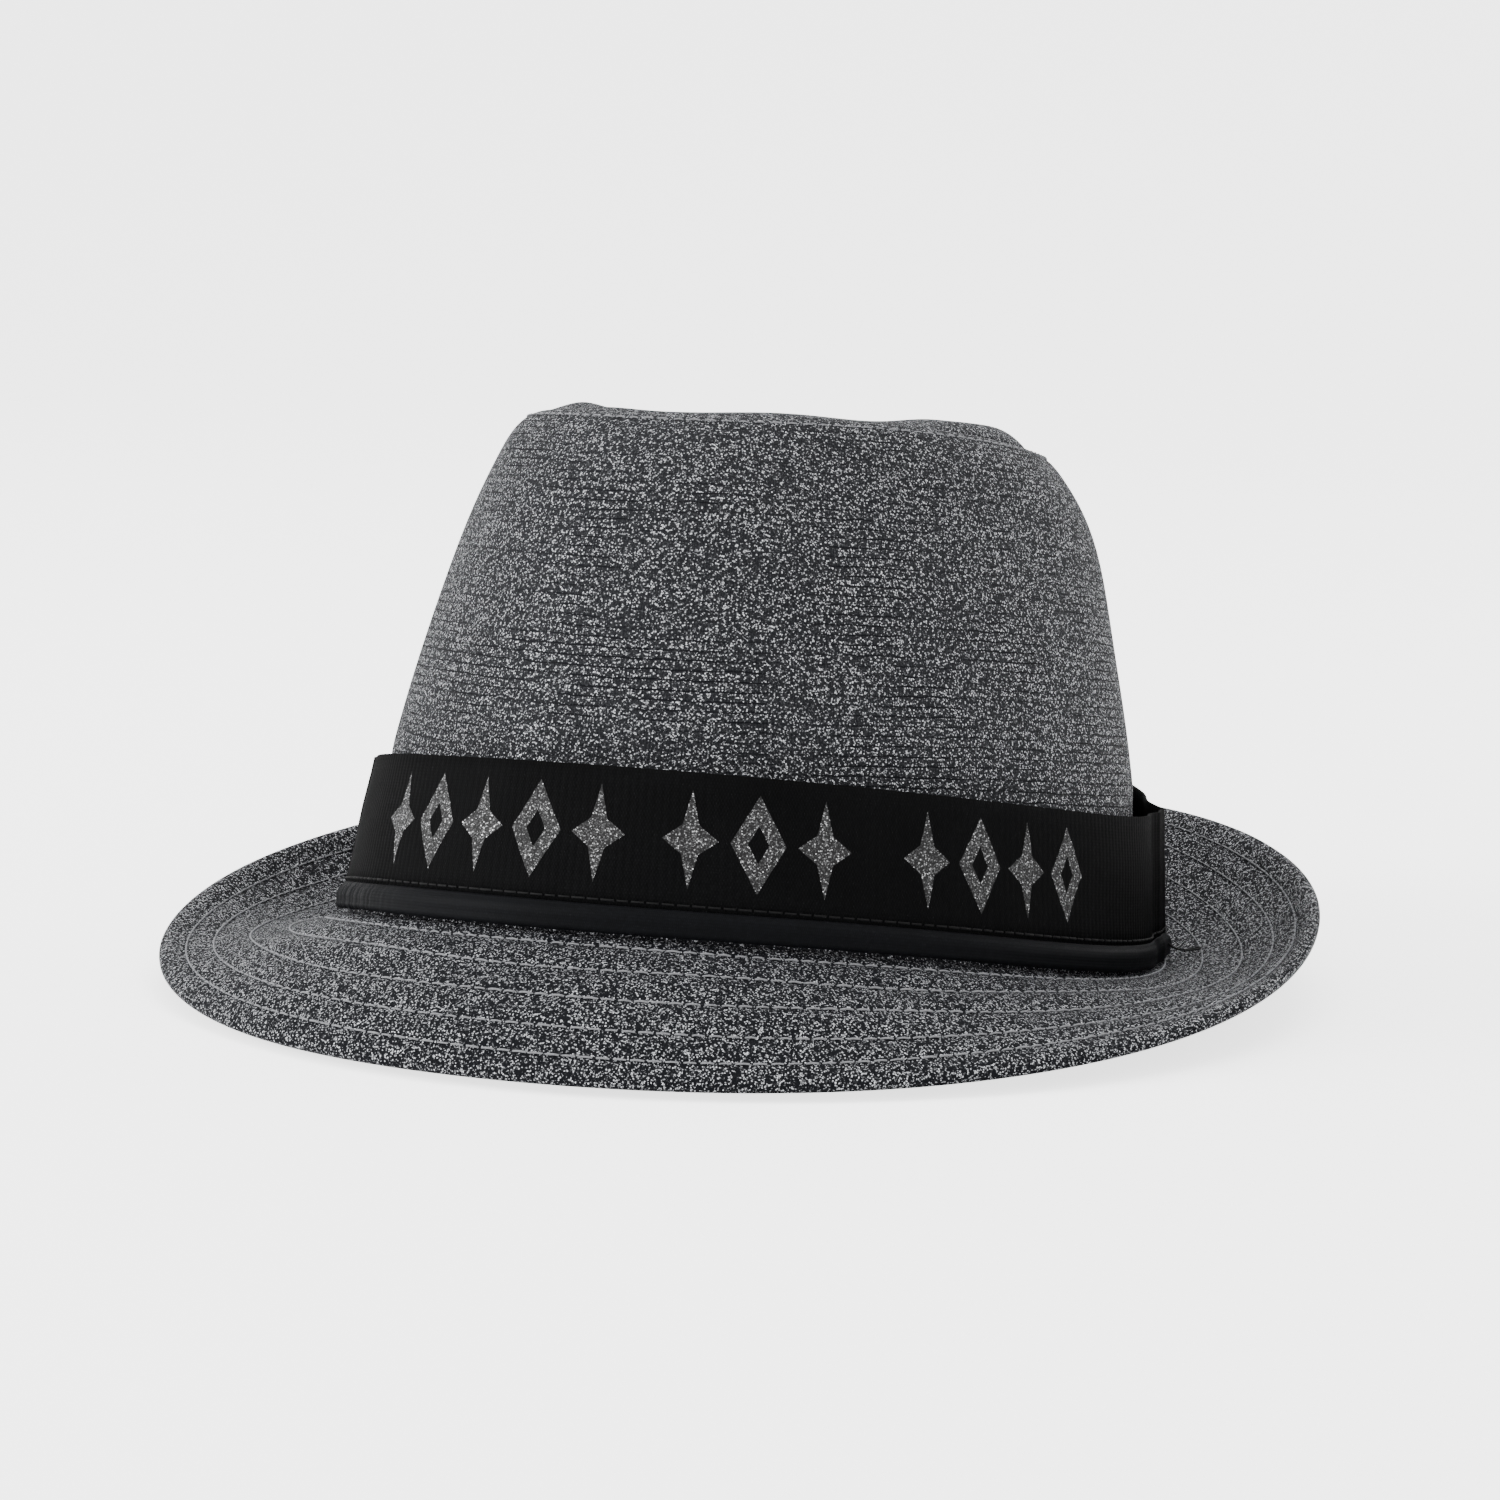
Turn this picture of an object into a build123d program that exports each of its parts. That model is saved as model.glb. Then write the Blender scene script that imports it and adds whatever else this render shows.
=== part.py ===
from build123d import *
from math import atan2, cos, exp, hypot, pi, radians, sin
import os

# A soft trilby-shaped party hat: glitter knit over stiffener, five rows of
# topstitching round the brim, and a printed ribbon that sits loose round the
# crown.  Everything is laid out in the hat's own frame (head opening near
# z = 0, front of the hat towards -Y) and then leaned back at the end, so the
# finished hat stands on its brim on a table.

# ---- driving dimensions, millimetres and degrees ----
OVAL_A = 100.0            # half length of the crown base, front to back
OVAL_B = 82.5             # half width of the crown base
# a list of numbers is a sum of cosines round the hat: c0 + c1 cos(a) + ...
JUNCTION = (0.0, 0.0, 4.4, -1.4)        # height of the crown/brim line
BRIM_SLOPE = (2.2, -35.3, 6.6, 0.0)     # slope of the brim at the crown
BRIM_CURL = (6.7, -17.0, -44.5, 10.0)   # slope gained by the outer edge
BRIM_WIDTH = 40.0
STITCH_ROWS = (4.5, 12.6, 21.1, 28.8, 34.8)

CREST = (104.9, 1.3, 0.0, -0.6)         # height of the tip seam
TAPER = (0.183, 0.041, 0.0, -0.023)     # inward lean of the crown wall
SHOULDER = 70.0           # how far below the seam the wall starts to turn in
TIP_A = 66.0              # half length of the tip seam
TIP_B = 50.0
TIP_BACK = 5.0            # the tip sits this far behind the middle
RIDGE = 3.9               # roll of the tip just inside its seam
RIDGE_FRONT, RIDGE_BACK = -0.55, 0.45   # the roll is lower in front and higher behind
DENT = 24.0               # depth of the centre dent
DENT_WIDE = 25.0
DENT_LONG = 40.0
TIP_FLAT = 0.14           # share of the oval that is flat at the bottom of the dent
PINCH_AT = 38.0           # where the two front pinches flatten the roll
PINCH_WIDE = 22.0
FRONT_WIDE = 35.0

KNIT = 0.9
STIFF = 0.6
LINING = 0.3
GAP = 0.05                # air between two sewn layers
SWEAT_THICK = 1.0
SWEAT_TALL = 32.0
WALL_DROP = 2.3           # the wall runs down past the brim's inner edge
WALL_FLARE = 0.27         # room for the wall, which widens as it goes down
THREAD = 0.5

BAND_TURN = 22.0          # the ribbon loop was folded flat on this axis
BAND_GAPS = (2.4, 1.0, 3.0)             # front, left crease, right crease
BAND_LEANS = (0.12, 0.19, 0.07)
BAND_LIFT = 0.7
REAR_RISE = 4.0           # the ribbon rides up on the turned-up back brim
RIBBON_TALL = 26.5
RIBBON_THICK = 0.5
ROLL_TALL = 5.5
ROLL_THICK = 2.6
ROLL_SKIN = 0.4

PRINT_THICK = 0.15
MOTIF_TALL = 19.0
MOTIF_WIDE = 11.0
MOTIF_FOOT = 4.0          # gap from the roll to the foot of a motif
MOTIF_STEP = 13.3         # along the ribbon, centre to centre
SPARKLE_WAIST = 0.42      # corner reach of a sparkle's hollow sides
LOZENGE_HOLE = 0.38
MOTIF_GROUPS = ((-80.0, 5), (-8.5, 3), (40.5, 4))   # first motif from the middle, count

STANDING_TILT = 6.1       # the front brim lifts the front of the hat
STANDING_LIFT = 11.48
STANDING_SHIFT = -2.2     # puts the middle of the whole hat over the origin

AROUND = 28               # points in each ring curve


# ---- shape of the hat ----
def cosines(phi, terms):
    return sum(c * cos(k * phi) for k, c in enumerate(terms))


def outward(phi):
    x, y = OVAL_A * sin(phi), -OVAL_B * cos(phi)
    return x / hypot(x, y), y / hypot(x, y)


def junction(phi):
    return OVAL_B * sin(phi), -OVAL_A * cos(phi), cosines(phi, JUNCTION)


def brim_section(phi, s):
    """Reach and rise of the brim after s millimetres of cloth, and its slope."""
    slope = radians(cosines(phi, BRIM_SLOPE))
    curl = radians(cosines(phi, BRIM_CURL))
    steps = 24
    reach = rise = 0.0
    for i in range(steps):
        t = max((i + 0.5) / steps * s / BRIM_WIDTH, 0.0)
        angle = slope + curl * t * t
        reach += cos(angle) * s / steps
        rise += sin(angle) * s / steps
    t = max(s / BRIM_WIDTH, 0.0)
    return reach, rise, slope + curl * t * t


def brim_point(phi, s, off):
    """A point s along the brim and off above its upper face."""
    reach, rise, angle = brim_section(phi, s)
    reach -= off * sin(angle)
    rise += off * cos(angle)
    x, y, z = junction(phi)
    nx, ny = outward(phi)
    return x + nx * reach, y + ny * reach, z + rise


def brim_start(phi, off):
    """Where a layer of the brim begins so that it clears the crown wall."""
    slope = radians(cosines(phi, BRIM_SLOPE))
    clear = 0.15 - WALL_FLARE * off
    return (clear + off * sin(slope)) / cos(slope)


def tip_seam(phi, inset=0.0):
    return ((TIP_B - inset) * sin(phi),
            TIP_BACK - (TIP_A - inset) * cos(phi),
            cosines(phi, CREST))


def wall_skin(phi, v):
    """The outside of the crown wall: v = 0 at the brim, 1 at the tip seam."""
    x, y, z = junction(phi)
    nx, ny = outward(phi)
    lean = cosines(phi, TAPER)
    top = cosines(phi, CREST)
    turn = top - SHOULDER
    knee = (x - nx * lean * turn, y - ny * lean * turn, turn)
    if v <= 0.6:
        t = v / 0.6
        return tuple(a + (b - a) * t for a, b in zip((x, y, z), knee))
    reach = lean * top * 0.97
    corner = (x - nx * reach, y - ny * reach, top * 0.99)
    seam = tip_seam(phi)
    t = (v - 0.6) / 0.4
    return tuple(k * (1 - t) ** 2 + 2 * c * t * (1 - t) + e * t * t
                 for k, c, e in zip(knee, corner, seam))


def wall_point(phi, v, depth):
    """A point depth millimetres inside the crown wall."""
    d = 1e-3
    p = Vector(*wall_skin(phi, v))
    along = Vector(*wall_skin(phi + d, v)) - Vector(*wall_skin(phi - d, v))
    up = Vector(*wall_skin(phi, min(v + d, 1))) - Vector(*wall_skin(phi, v - d))
    n = along.cross(up).normalized()
    p = p - n * depth
    return p.X, p.Y, p.Z


def wall_height(phi, z):
    """The v of the wall z millimetres above the brim line (lower wall)."""
    turn = cosines(phi, CREST) - SHOULDER
    return 0.6 * z / (turn - cosines(phi, JUNCTION))


def tip_height(x, y):
    """The top of the crown: rolled rim, two front pinches and a dent."""
    c = -(y - TIP_BACK) / TIP_A
    crest = CREST[0] + CREST[1] * c + CREST[3] * (4 * c ** 3 - 3 * c)
    rho2 = (x / TIP_B) ** 2 + c * c
    roll = 6.75 * rho2 * rho2 * (1 - rho2)
    turn = atan2(abs(x), TIP_A * c)
    pinch = exp(-((turn - radians(PINCH_AT)) / radians(PINCH_WIDE)) ** 2)
    wide = DENT_WIDE * (1 + 0.25 * (y - TIP_BACK) / TIP_A)
    bowl = exp(-((x / wide) ** 2 + ((y - TIP_BACK) / DENT_LONG) ** 2) ** 1.5)
    front = exp(-(turn / radians(FRONT_WIDE)) ** 2)
    behind = ((1 - cos(turn)) / 2) ** 2
    roll *= (1 - 0.8 * pinch) * (1 + RIDGE_FRONT * front) * (1 + RIDGE_BACK * behind)
    return crest + RIDGE * roll - DENT * bowl


def band_point(phi, z, out):
    """A point of the ribbon loop: z above its foot, out from its back face."""
    s = sin(phi - radians(BAND_TURN))
    side = 1 if s < 0 else 2
    crease = abs(s) ** 8
    gap = BAND_GAPS[0] + (BAND_GAPS[side] - BAND_GAPS[0]) * crease
    lean = BAND_LEANS[0] + (BAND_LEANS[side] - BAND_LEANS[0]) * s * s
    rise = BAND_LIFT + REAR_RISE * ((1 - cos(phi)) / 2) ** 4
    reach = gap + out - lean * z
    x, y, base = junction(phi)
    nx, ny = outward(phi)
    return x + nx * reach, y + ny * reach, base + rise + z


# ---- ways of building a ring-shaped piece ----
def ring(point):
    """A closed curve through point(phi) all the way round the hat."""
    turns = [2 * pi * i / AROUND for i in range(AROUND)]
    return Wire([Edge.make_spline([point(a) for a in turns], periodic=True)])


def skin(rows, ruled=False):
    return Shell.make_loft(rows, ruled).faces()


def upright(solid):
    """The same solid with its faces looking outward."""
    return solid if solid.volume > 0 else Solid(solid.wrapped.Reversed())


def ring_body(face_rows, back_rows):
    """A closed ring of cloth between two families of curves."""
    face = [ring(r) for r in face_rows]
    back = [ring(r) for r in back_rows]
    ruled = len(face) < 3
    faces = skin(face, ruled) + skin(back, ruled)
    faces += skin([face[0], back[0]], True) + skin([face[-1], back[-1]], True)
    return upright(Solid(Shell(faces)))


def wall_layer(outer, inner, low, high=1.0):
    """One layer of the crown wall between two depths."""
    def row(depth, step):
        def point(phi):
            v0 = wall_height(phi, low)
            v = v0 + (high - v0) * step
            return wall_point(phi, v, depth)
        return point
    steps = (0, 0.2, 0.4, 0.6, 0.7, 0.8, 0.9, 0.96, 1.0)
    return ring_body([row(outer, t) for t in steps], [row(inner, t) for t in steps])


def wall_strip(outer, inner, low, high):
    """A strip sewn round the lower wall between two heights."""
    def row(depth, z):
        return lambda phi: wall_point(phi, wall_height(phi, z), depth)
    rows = [low + (high - low) * t for t in (0, 0.5, 1)]
    return ring_body([row(outer, z) for z in rows], [row(inner, z) for z in rows])


def brim_layer(top, bottom, end):
    """One layer of the brim between two offsets below its upper face."""
    def row(off, step):
        def point(phi):
            first = brim_start(phi, off)
            return brim_point(phi, first + (end - first) * step, off)
        return point
    steps = (0, 0.17, 0.34, 0.5, 0.67, 0.84, 1.0)
    return ring_body([row(top, t) for t in steps], [row(bottom, t) for t in steps])


def thread_on_brim(s):
    """A row of topstitching lying on the brim."""
    def row(offset, off):
        return lambda phi: brim_point(phi, s + offset, off)
    half = THREAD / 2
    return ring_body([row(-half, 0.32), row(half, 0.32)],
                     [row(-half, 0.02), row(half, 0.02)])


def tip_layer(top, bottom, inset):
    """One layer of the tip: rings from a small flat middle out to its seam."""
    def row(rho, drop):
        def point(phi):
            x = (TIP_B - inset) * rho * sin(phi)
            y = TIP_BACK - (TIP_A - inset) * rho * cos(phi)
            rounded = min(max((rho - TIP_FLAT) / 0.2, 0), 1)
            flat = tip_height(0, TIP_BACK)
            return x, y, flat + (tip_height(x, y) - flat) * rounded - drop
        return point
    steps = (TIP_FLAT, 0.24, 0.34, 0.44, 0.54, 0.64, 0.73, 0.81, 0.88, 0.94, 1.0)
    upper = [ring(row(t, top)) for t in steps]
    under = [ring(row(t, bottom)) for t in steps]
    faces = skin(upper) + skin(under) + skin([upper[-1], under[-1]], True)
    return upright(Solid(Shell(faces + [Face(upper[0]), Face(under[0])])))


def band_strip(low, high, back, front, rows=3):
    """A strip of the ribbon loop."""
    def row(out, z):
        return lambda phi: band_point(phi, z, out)
    levels = [low + (high - low) * t / (rows - 1) for t in range(rows)]
    return ring_body([row(front, z) for z in levels], [row(back, z) for z in levels])


def band_tube(middle, out, half_tall, half_thick):
    """A rounded roll running round the foot of the ribbon."""
    def row(turn):
        return lambda phi: band_point(phi, middle + half_tall * sin(turn),
                                      out + half_thick * cos(turn))
    quarters = []
    for q in range(4):
        turns = [pi / 2 * (q + t / 3) for t in range(4)]
        quarters += skin([ring(row(a)) for a in turns])
    return upright(Solid(Shell(quarters)))


# ---- the pieces ----
parts = {}

layers = (("knit", 0.0, KNIT), ("stiffener", KNIT + GAP, KNIT + GAP + STIFF),
          ("lining", KNIT + STIFF + 2 * GAP, KNIT + STIFF + LINING + 2 * GAP))
for name, outer, inner in layers:
    parts["crown_side_" + name] = wall_layer(outer, inner, -WALL_DROP)
    parts["crown_tip_" + name] = tip_layer(outer, inner, 0.35)


def seam_thread(depth, back):
    return lambda phi: wall_point(phi, 1 - back / 20, depth)


parts["crown_tip_topstitch"] = ring_body(
    [seam_thread(-0.32, 0.9), seam_thread(-0.32, 0.9 - THREAD)],
    [seam_thread(-0.02, 0.9), seam_thread(-0.02, 0.9 - THREAD)])

parts["brim_upper_knit"] = brim_layer(0.0, -KNIT, BRIM_WIDTH)
parts["brim_stiffener"] = brim_layer(-KNIT - GAP, -KNIT - GAP - STIFF, BRIM_WIDTH - 1.5)
parts["brim_lower_knit"] = brim_layer(-KNIT - STIFF - 2 * GAP,
                                      -2 * KNIT - STIFF - 2 * GAP, BRIM_WIDTH)
for count, s in enumerate(STITCH_ROWS, 1):
    parts[f"brim_stitch_row_{count}"] = thread_on_brim(s)

inside = KNIT + STIFF + LINING + 6 * GAP
parts["sweatband"] = wall_strip(inside, inside + SWEAT_THICK, -WALL_DROP, SWEAT_TALL)
stitch_in = inside + SWEAT_THICK
parts["sweatband_stitch"] = wall_strip(stitch_in + 0.06, stitch_in + 0.36,
                                       -WALL_DROP + 2, -WALL_DROP + 2 + THREAD)

roll_middle = ROLL_TALL / 2
roll_out = RIBBON_THICK / 2 + 0.25
cover = band_tube(roll_middle, roll_out, ROLL_TALL / 2, ROLL_THICK / 2)
hollow = band_tube(roll_middle, roll_out, ROLL_TALL / 2 - ROLL_SKIN, ROLL_THICK / 2 - ROLL_SKIN)
parts["hatband_roll_cover"] = (cover - hollow).solids()[0]
parts["hatband_piping_cord"] = band_tube(roll_middle, roll_out,
                                         ROLL_TALL / 2 - ROLL_SKIN - GAP,
                                         ROLL_THICK / 2 - ROLL_SKIN - GAP)
ribbon_foot = ROLL_TALL + GAP
ribbon_top = ROLL_TALL + RIBBON_TALL
parts["hatband_ribbon"] = band_strip(ribbon_foot, ribbon_top, 0, RIBBON_THICK)
parts["hatband_topstitch"] = band_strip(ribbon_foot + 0.6, ribbon_foot + 0.6 + THREAD,
                                        RIBBON_THICK + 0.02, RIBBON_THICK + 0.32, 2)


# ---- the printed motifs: sparkles and lozenges in groups of 5, 3 and 4 ----
def sparkle(tall, wide):
    """A four-pointed star with hollow sides."""
    outline = []
    for k in range(8):
        a = pi / 4 * k
        reach = 1 if k % 2 == 0 else SPARKLE_WAIST
        outline.append((wide / 2 * reach * sin(a), tall / 2 * reach * cos(a)))
    return [outline]


def lozenge(tall, wide):
    """A diamond with an open middle."""
    def diamond(scale):
        return [(0, tall / 2 * scale), (wide / 2 * scale, 0),
                (0, -tall / 2 * scale), (-wide / 2 * scale, 0)]
    return [diamond(1.0), diamond(LOZENGE_HOLE)]


def motif(turn, shape, skin_shell):
    """Cut one motif out of the thin printed skin of the ribbon."""
    foot = ribbon_foot + MOTIF_FOOT
    x, y, z = band_point(turn, foot + MOTIF_TALL / 2, RIBBON_THICK)
    nx, ny = outward(turn)
    plane = Plane(origin=(x - 4 * nx, y - 4 * ny, z), x_dir=(-ny, nx, 0), z_dir=(nx, ny, 0))
    outlines = shape(MOTIF_TALL, MOTIF_WIDE)
    face = Face(Wire.make_polygon([plane.from_local_coords(p) for p in outlines[0]], close=True))
    for hole in outlines[1:]:
        face = face - Face(Wire.make_polygon([plane.from_local_coords(p) for p in hole],
                                             close=True))
    cutter = extrude(face, amount=8, dir=(nx, ny, 0))
    return (skin_shell & cutter).solids()


def turn_along(arc):
    """The turn round the hat after arc millimetres along the ribbon's face."""
    phi = radians(BAND_TURN)
    step = radians(0.25) if arc > 0 else -radians(0.25)
    x, y, z = band_point(phi, 19, RIBBON_THICK)
    left = abs(arc)
    while left > 0:
        phi += step
        x1, y1, z1 = band_point(phi, 19, RIBBON_THICK)
        left -= hypot(x1 - x, y1 - y, z1 - z)
        x, y, z = x1, y1, z1
    return phi


print_skin = band_strip(ribbon_foot + 1, ribbon_top - 1,
                        RIBBON_THICK + 0.02, RIBBON_THICK + 0.02 + PRINT_THICK)
motifs = []
for first, count in MOTIF_GROUPS:
    for k in range(count):
        shape = sparkle if k % 2 == 0 else lozenge
        motifs += motif(turn_along(first + k * MOTIF_STEP), shape, print_skin)
parts["hatband_print"] = Compound(motifs)


# ---- stand the hat on its brim and write the pieces ----
stand = Pos(0, STANDING_SHIFT, STANDING_LIFT) * Rot(-STANDING_TILT, 0, 0)
os.makedirs("parts", exist_ok=True)
whole = []
for name, piece in parts.items():
    piece = stand * piece
    box = piece.bounding_box()
    whole.append(box)
    print(f"{name:26s} valid {piece.is_valid}  volume {piece.volume:9.1f} mm3  "
          f"z {box.min.Z:7.2f} to {box.max.Z:7.2f}")
    export_step(piece, f"parts/{name}.step")
print(f"{len(parts)} pieces")
print(f"x {min(b.min.X for b in whole):.2f} to {max(b.max.X for b in whole):.2f}, "
      f"y {min(b.min.Y for b in whole):.2f} to {max(b.max.Y for b in whole):.2f}, "
      f"z {min(b.min.Z for b in whole):.3f} to {max(b.max.Z for b in whole):.2f} mm")
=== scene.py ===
# %% [markdown]
# # New year party hat
# A soft trilby in black and silver lurex knit.  The crown wall and the tip
# are cut apart and sewn together at the top, the brim is two layers of knit
# over a stiffener with five rows of topstitching, and a black grosgrain
# ribbon with a satin roll along its foot sits loose round the crown.
# The lesson takes the shape of the block first, then the finishes, the crown,
# the brim, the stitches, the sweatband, the ribbon and its roll, and the studio.

from math import cos, pi, radians, sin

import bpy
import numpy as np
from mathutils import Matrix, Vector


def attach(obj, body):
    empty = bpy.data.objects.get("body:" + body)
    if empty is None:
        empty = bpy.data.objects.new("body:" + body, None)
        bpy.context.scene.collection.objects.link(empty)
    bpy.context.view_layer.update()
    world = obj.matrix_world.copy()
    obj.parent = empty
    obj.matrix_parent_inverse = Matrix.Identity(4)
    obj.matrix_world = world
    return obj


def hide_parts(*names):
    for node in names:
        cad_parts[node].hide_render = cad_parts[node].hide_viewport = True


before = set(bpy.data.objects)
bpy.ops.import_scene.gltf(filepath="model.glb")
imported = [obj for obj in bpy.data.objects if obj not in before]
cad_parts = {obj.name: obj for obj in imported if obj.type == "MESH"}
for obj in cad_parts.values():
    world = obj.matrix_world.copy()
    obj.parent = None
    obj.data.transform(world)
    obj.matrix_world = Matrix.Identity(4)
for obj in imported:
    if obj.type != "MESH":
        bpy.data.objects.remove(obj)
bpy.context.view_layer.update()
print("frame loaded:", sorted(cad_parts))

# %% [markdown]
# ## The block
# Every piece is a band of cloth that runs round the hat, so one angle says
# where we are: 0 at the front, growing towards the wearer's left.  Sizes are
# in millimetres in the hat's own frame, where the head opening is level.
# Short sums of cosines say how the brim dips in front and turns up behind,
# because a hat is smooth all the way round and has no corner to start from.

# %% Dimensions of the block
OVAL_A, OVAL_B = 100.0, 82.5
JUNCTION = (0.0, 0.0, 4.4, -1.4)
BRIM_SLOPE = (2.2, -35.3, 6.6, 0.0)
BRIM_CURL = (6.7, -17.0, -44.5, 10.0)
BRIM_WIDTH = 40.0
STITCH_ROWS = (4.5, 12.6, 21.1, 28.8, 34.8)
CREST = (104.9, 1.3, 0.0, -0.6)
TAPER = (0.183, 0.041, 0.0, -0.023)
SHOULDER = 70.0
KNEE, CORNER_IN, CORNER_UP = 0.6, 0.97, 0.99
TIP_A, TIP_B, TIP_BACK = 66.0, 50.0, 5.0
RIDGE, RIDGE_FRONT, RIDGE_BACK, FRONT_WIDE = 3.9, -0.55, 0.45, 35.0
DENT, DENT_WIDE, DENT_LONG = 24.0, 25.0, 40.0
DENT_FLARE, DENT_ROUND = 0.25, 1.5
PINCH_AT, PINCH_WIDE, PINCH_DEEP = 38.0, 22.0, 0.8
KNIT, STIFF, LINING = 0.9, 0.6, 0.3
BAND_TURN = 22.0
BAND_GAPS = (2.4, 1.0, 3.0)
BAND_LEANS = (0.12, 0.19, 0.07)
BAND_LIFT, REAR_RISE = 0.7, 4.0
RIBBON_TALL, RIBBON_THICK = 26.5, 0.5
ROLL_TALL, ROLL_THICK = 5.5, 2.6
STANDING_TILT, STANDING_LIFT, STANDING_SHIFT = 6.1, 11.48, -2.2


def stand(points):
    """Hat-frame millimetres to row-frame metres: the hat leans back on its brim."""
    points = np.asarray(points, float)
    tilt = radians(STANDING_TILT)
    x, y, z = points[..., 0], points[..., 1], points[..., 2]
    moved = np.stack([x, y * cos(tilt) + z * sin(tilt) + STANDING_SHIFT,
                      z * cos(tilt) - y * sin(tilt) + STANDING_LIFT], -1)
    return moved / 1000.0


def cosines(phi, terms):
    """A smooth value round the hat: terms[k] is the share of cos(k * phi)."""
    return sum(c * np.cos(k * phi) for k, c in enumerate(terms))


def outward(phi):
    """The level direction straight away from the head opening."""
    x, y = OVAL_A * np.sin(phi), -OVAL_B * np.cos(phi)
    length = np.hypot(x, y)
    return x / length, y / length


def junction(phi):
    """The seam between the crown wall and the brim."""
    return OVAL_B * np.sin(phi), -OVAL_A * np.cos(phi), cosines(phi, JUNCTION)


def brim_point(phi, s, off):
    """s millimetres out along the brim and off above its upper face."""
    slope = np.radians(cosines(phi, BRIM_SLOPE))
    curl = np.radians(cosines(phi, BRIM_CURL))
    steps = 24
    reach = rise = 0.0
    for i in range(steps):
        t = np.maximum((i + 0.5) / steps * s / BRIM_WIDTH, 0.0)
        angle = slope + curl * t * t
        reach = reach + np.cos(angle) * s / steps
        rise = rise + np.sin(angle) * s / steps
    t = np.maximum(s / BRIM_WIDTH, 0.0)
    angle = slope + curl * t * t
    reach = reach - off * np.sin(angle)
    rise = rise + off * np.cos(angle)
    x, y, z = junction(phi)
    nx, ny = outward(phi)
    return np.stack([x + nx * reach, y + ny * reach, z + rise], -1)


def wall_skin(phi, v):
    """The outside of the crown wall: v is 0 at the brim and 1 at the tip seam."""
    x, y, z = junction(phi)
    nx, ny = outward(phi)
    lean, top = cosines(phi, TAPER), cosines(phi, CREST)
    turn = top - SHOULDER
    foot = np.stack([x, y, z], -1)
    knee = np.stack([x - nx * lean * turn, y - ny * lean * turn, turn], -1)
    reach = lean * top * CORNER_IN
    corner = np.stack([x - nx * reach, y - ny * reach, top * CORNER_UP], -1)
    seam = np.stack([TIP_B * np.sin(phi), TIP_BACK - TIP_A * np.cos(phi), top], -1)
    a = (v / KNEE)[..., None]
    b = np.clip((v - KNEE) / (1 - KNEE), 0, None)[..., None]
    low = foot + (knee - foot) * a
    high = knee * (1 - b) ** 2 + 2 * corner * b * (1 - b) + seam * b * b
    return np.where((v <= KNEE)[..., None], low, high)


def wall_point(phi, v, depth):
    """depth millimetres inside the crown wall."""
    d = 1e-3
    along = wall_skin(phi + d, v) - wall_skin(phi - d, v)
    up = wall_skin(phi, np.minimum(v + d, 1)) - wall_skin(phi, v - d)
    n = np.cross(along, up)
    n /= np.linalg.norm(n, axis=-1, keepdims=True)
    return wall_skin(phi, v) - n * np.asarray(depth)[..., None]


def wall_height(phi, z):
    """The v of a line z millimetres above the brim seam, below the shoulder."""
    turn = cosines(phi, CREST) - SHOULDER
    return KNEE * z / (turn - cosines(phi, JUNCTION))


def tip_height(x, y):
    """The top of the crown: rolled rim, two front pinches and a centre dent."""
    c = -(y - TIP_BACK) / TIP_A
    crest = CREST[0] + CREST[1] * c + CREST[3] * (4 * c ** 3 - 3 * c)
    rho2 = (x / TIP_B) ** 2 + c * c
    roll = 27 / 4 * rho2 * rho2 * (1 - rho2)
    turn = np.arctan2(np.abs(x), TIP_A * c)
    pinch = np.exp(-((turn - radians(PINCH_AT)) / radians(PINCH_WIDE)) ** 2)
    wide = DENT_WIDE * (1 + DENT_FLARE * (y - TIP_BACK) / TIP_A)
    bowl = np.exp(-((x / wide) ** 2 + ((y - TIP_BACK) / DENT_LONG) ** 2) ** DENT_ROUND)
    front = np.exp(-(turn / radians(FRONT_WIDE)) ** 2)
    behind = ((1 - np.cos(turn)) / 2) ** 2
    roll = roll * (1 - PINCH_DEEP * pinch)
    roll = roll * (1 + RIDGE_FRONT * front) * (1 + RIDGE_BACK * behind)
    return crest + RIDGE * roll - DENT * bowl


print("block: crown base", 2 * OVAL_A, "by", 2 * OVAL_B, "mm, brim", BRIM_WIDTH, "mm")

# %% [markdown]
# ## Cloth helpers
# A ring of cloth is a grid of points: rows up the piece, columns round the
# hat.  It could be a single skin with a solidify modifier; here the face and
# the back are laid out by the same formula at two depths, so each layer keeps
# its true thickness and neighbouring layers never cross.


# %% Meshes from grids
def new_mesh(name, verts, faces, uvs):
    """A smooth mesh object with one UV pair for each point."""
    mesh = bpy.data.meshes.new(name)
    mesh.from_pydata([tuple(v) for v in verts], [], faces)
    layer = mesh.uv_layers.new(name="cloth")
    loops = np.zeros(len(mesh.loops), np.int32)
    mesh.loops.foreach_get("vertex_index", loops)
    layer.data.foreach_set("uv", np.asarray(uvs, np.float32)[loops].ravel())
    mesh.shade_smooth()
    obj = bpy.data.objects.new(name, mesh)
    bpy.context.scene.collection.objects.link(obj)
    return obj


def set_wrapped_uv(obj, columns, width):
    """Close the seam of a ring: corners in its last column count on past it."""
    layer = obj.data.uv_layers["cloth"]
    flat = np.zeros(len(obj.data.loops) * 2, np.float32)
    layer.data.foreach_get("uv", flat)
    uv = flat.reshape(-1, 2)
    for poly in obj.data.polygons:
        span = uv[poly.loop_start:poly.loop_start + poly.loop_total]
        if span[:, 0].max() - span[:, 0].min() > width / 2:
            span[:, 0] = np.where(span[:, 0] < width / 2, span[:, 0] + width, span[:, 0])
    layer.data.foreach_set("uv", uv.ravel())


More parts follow.
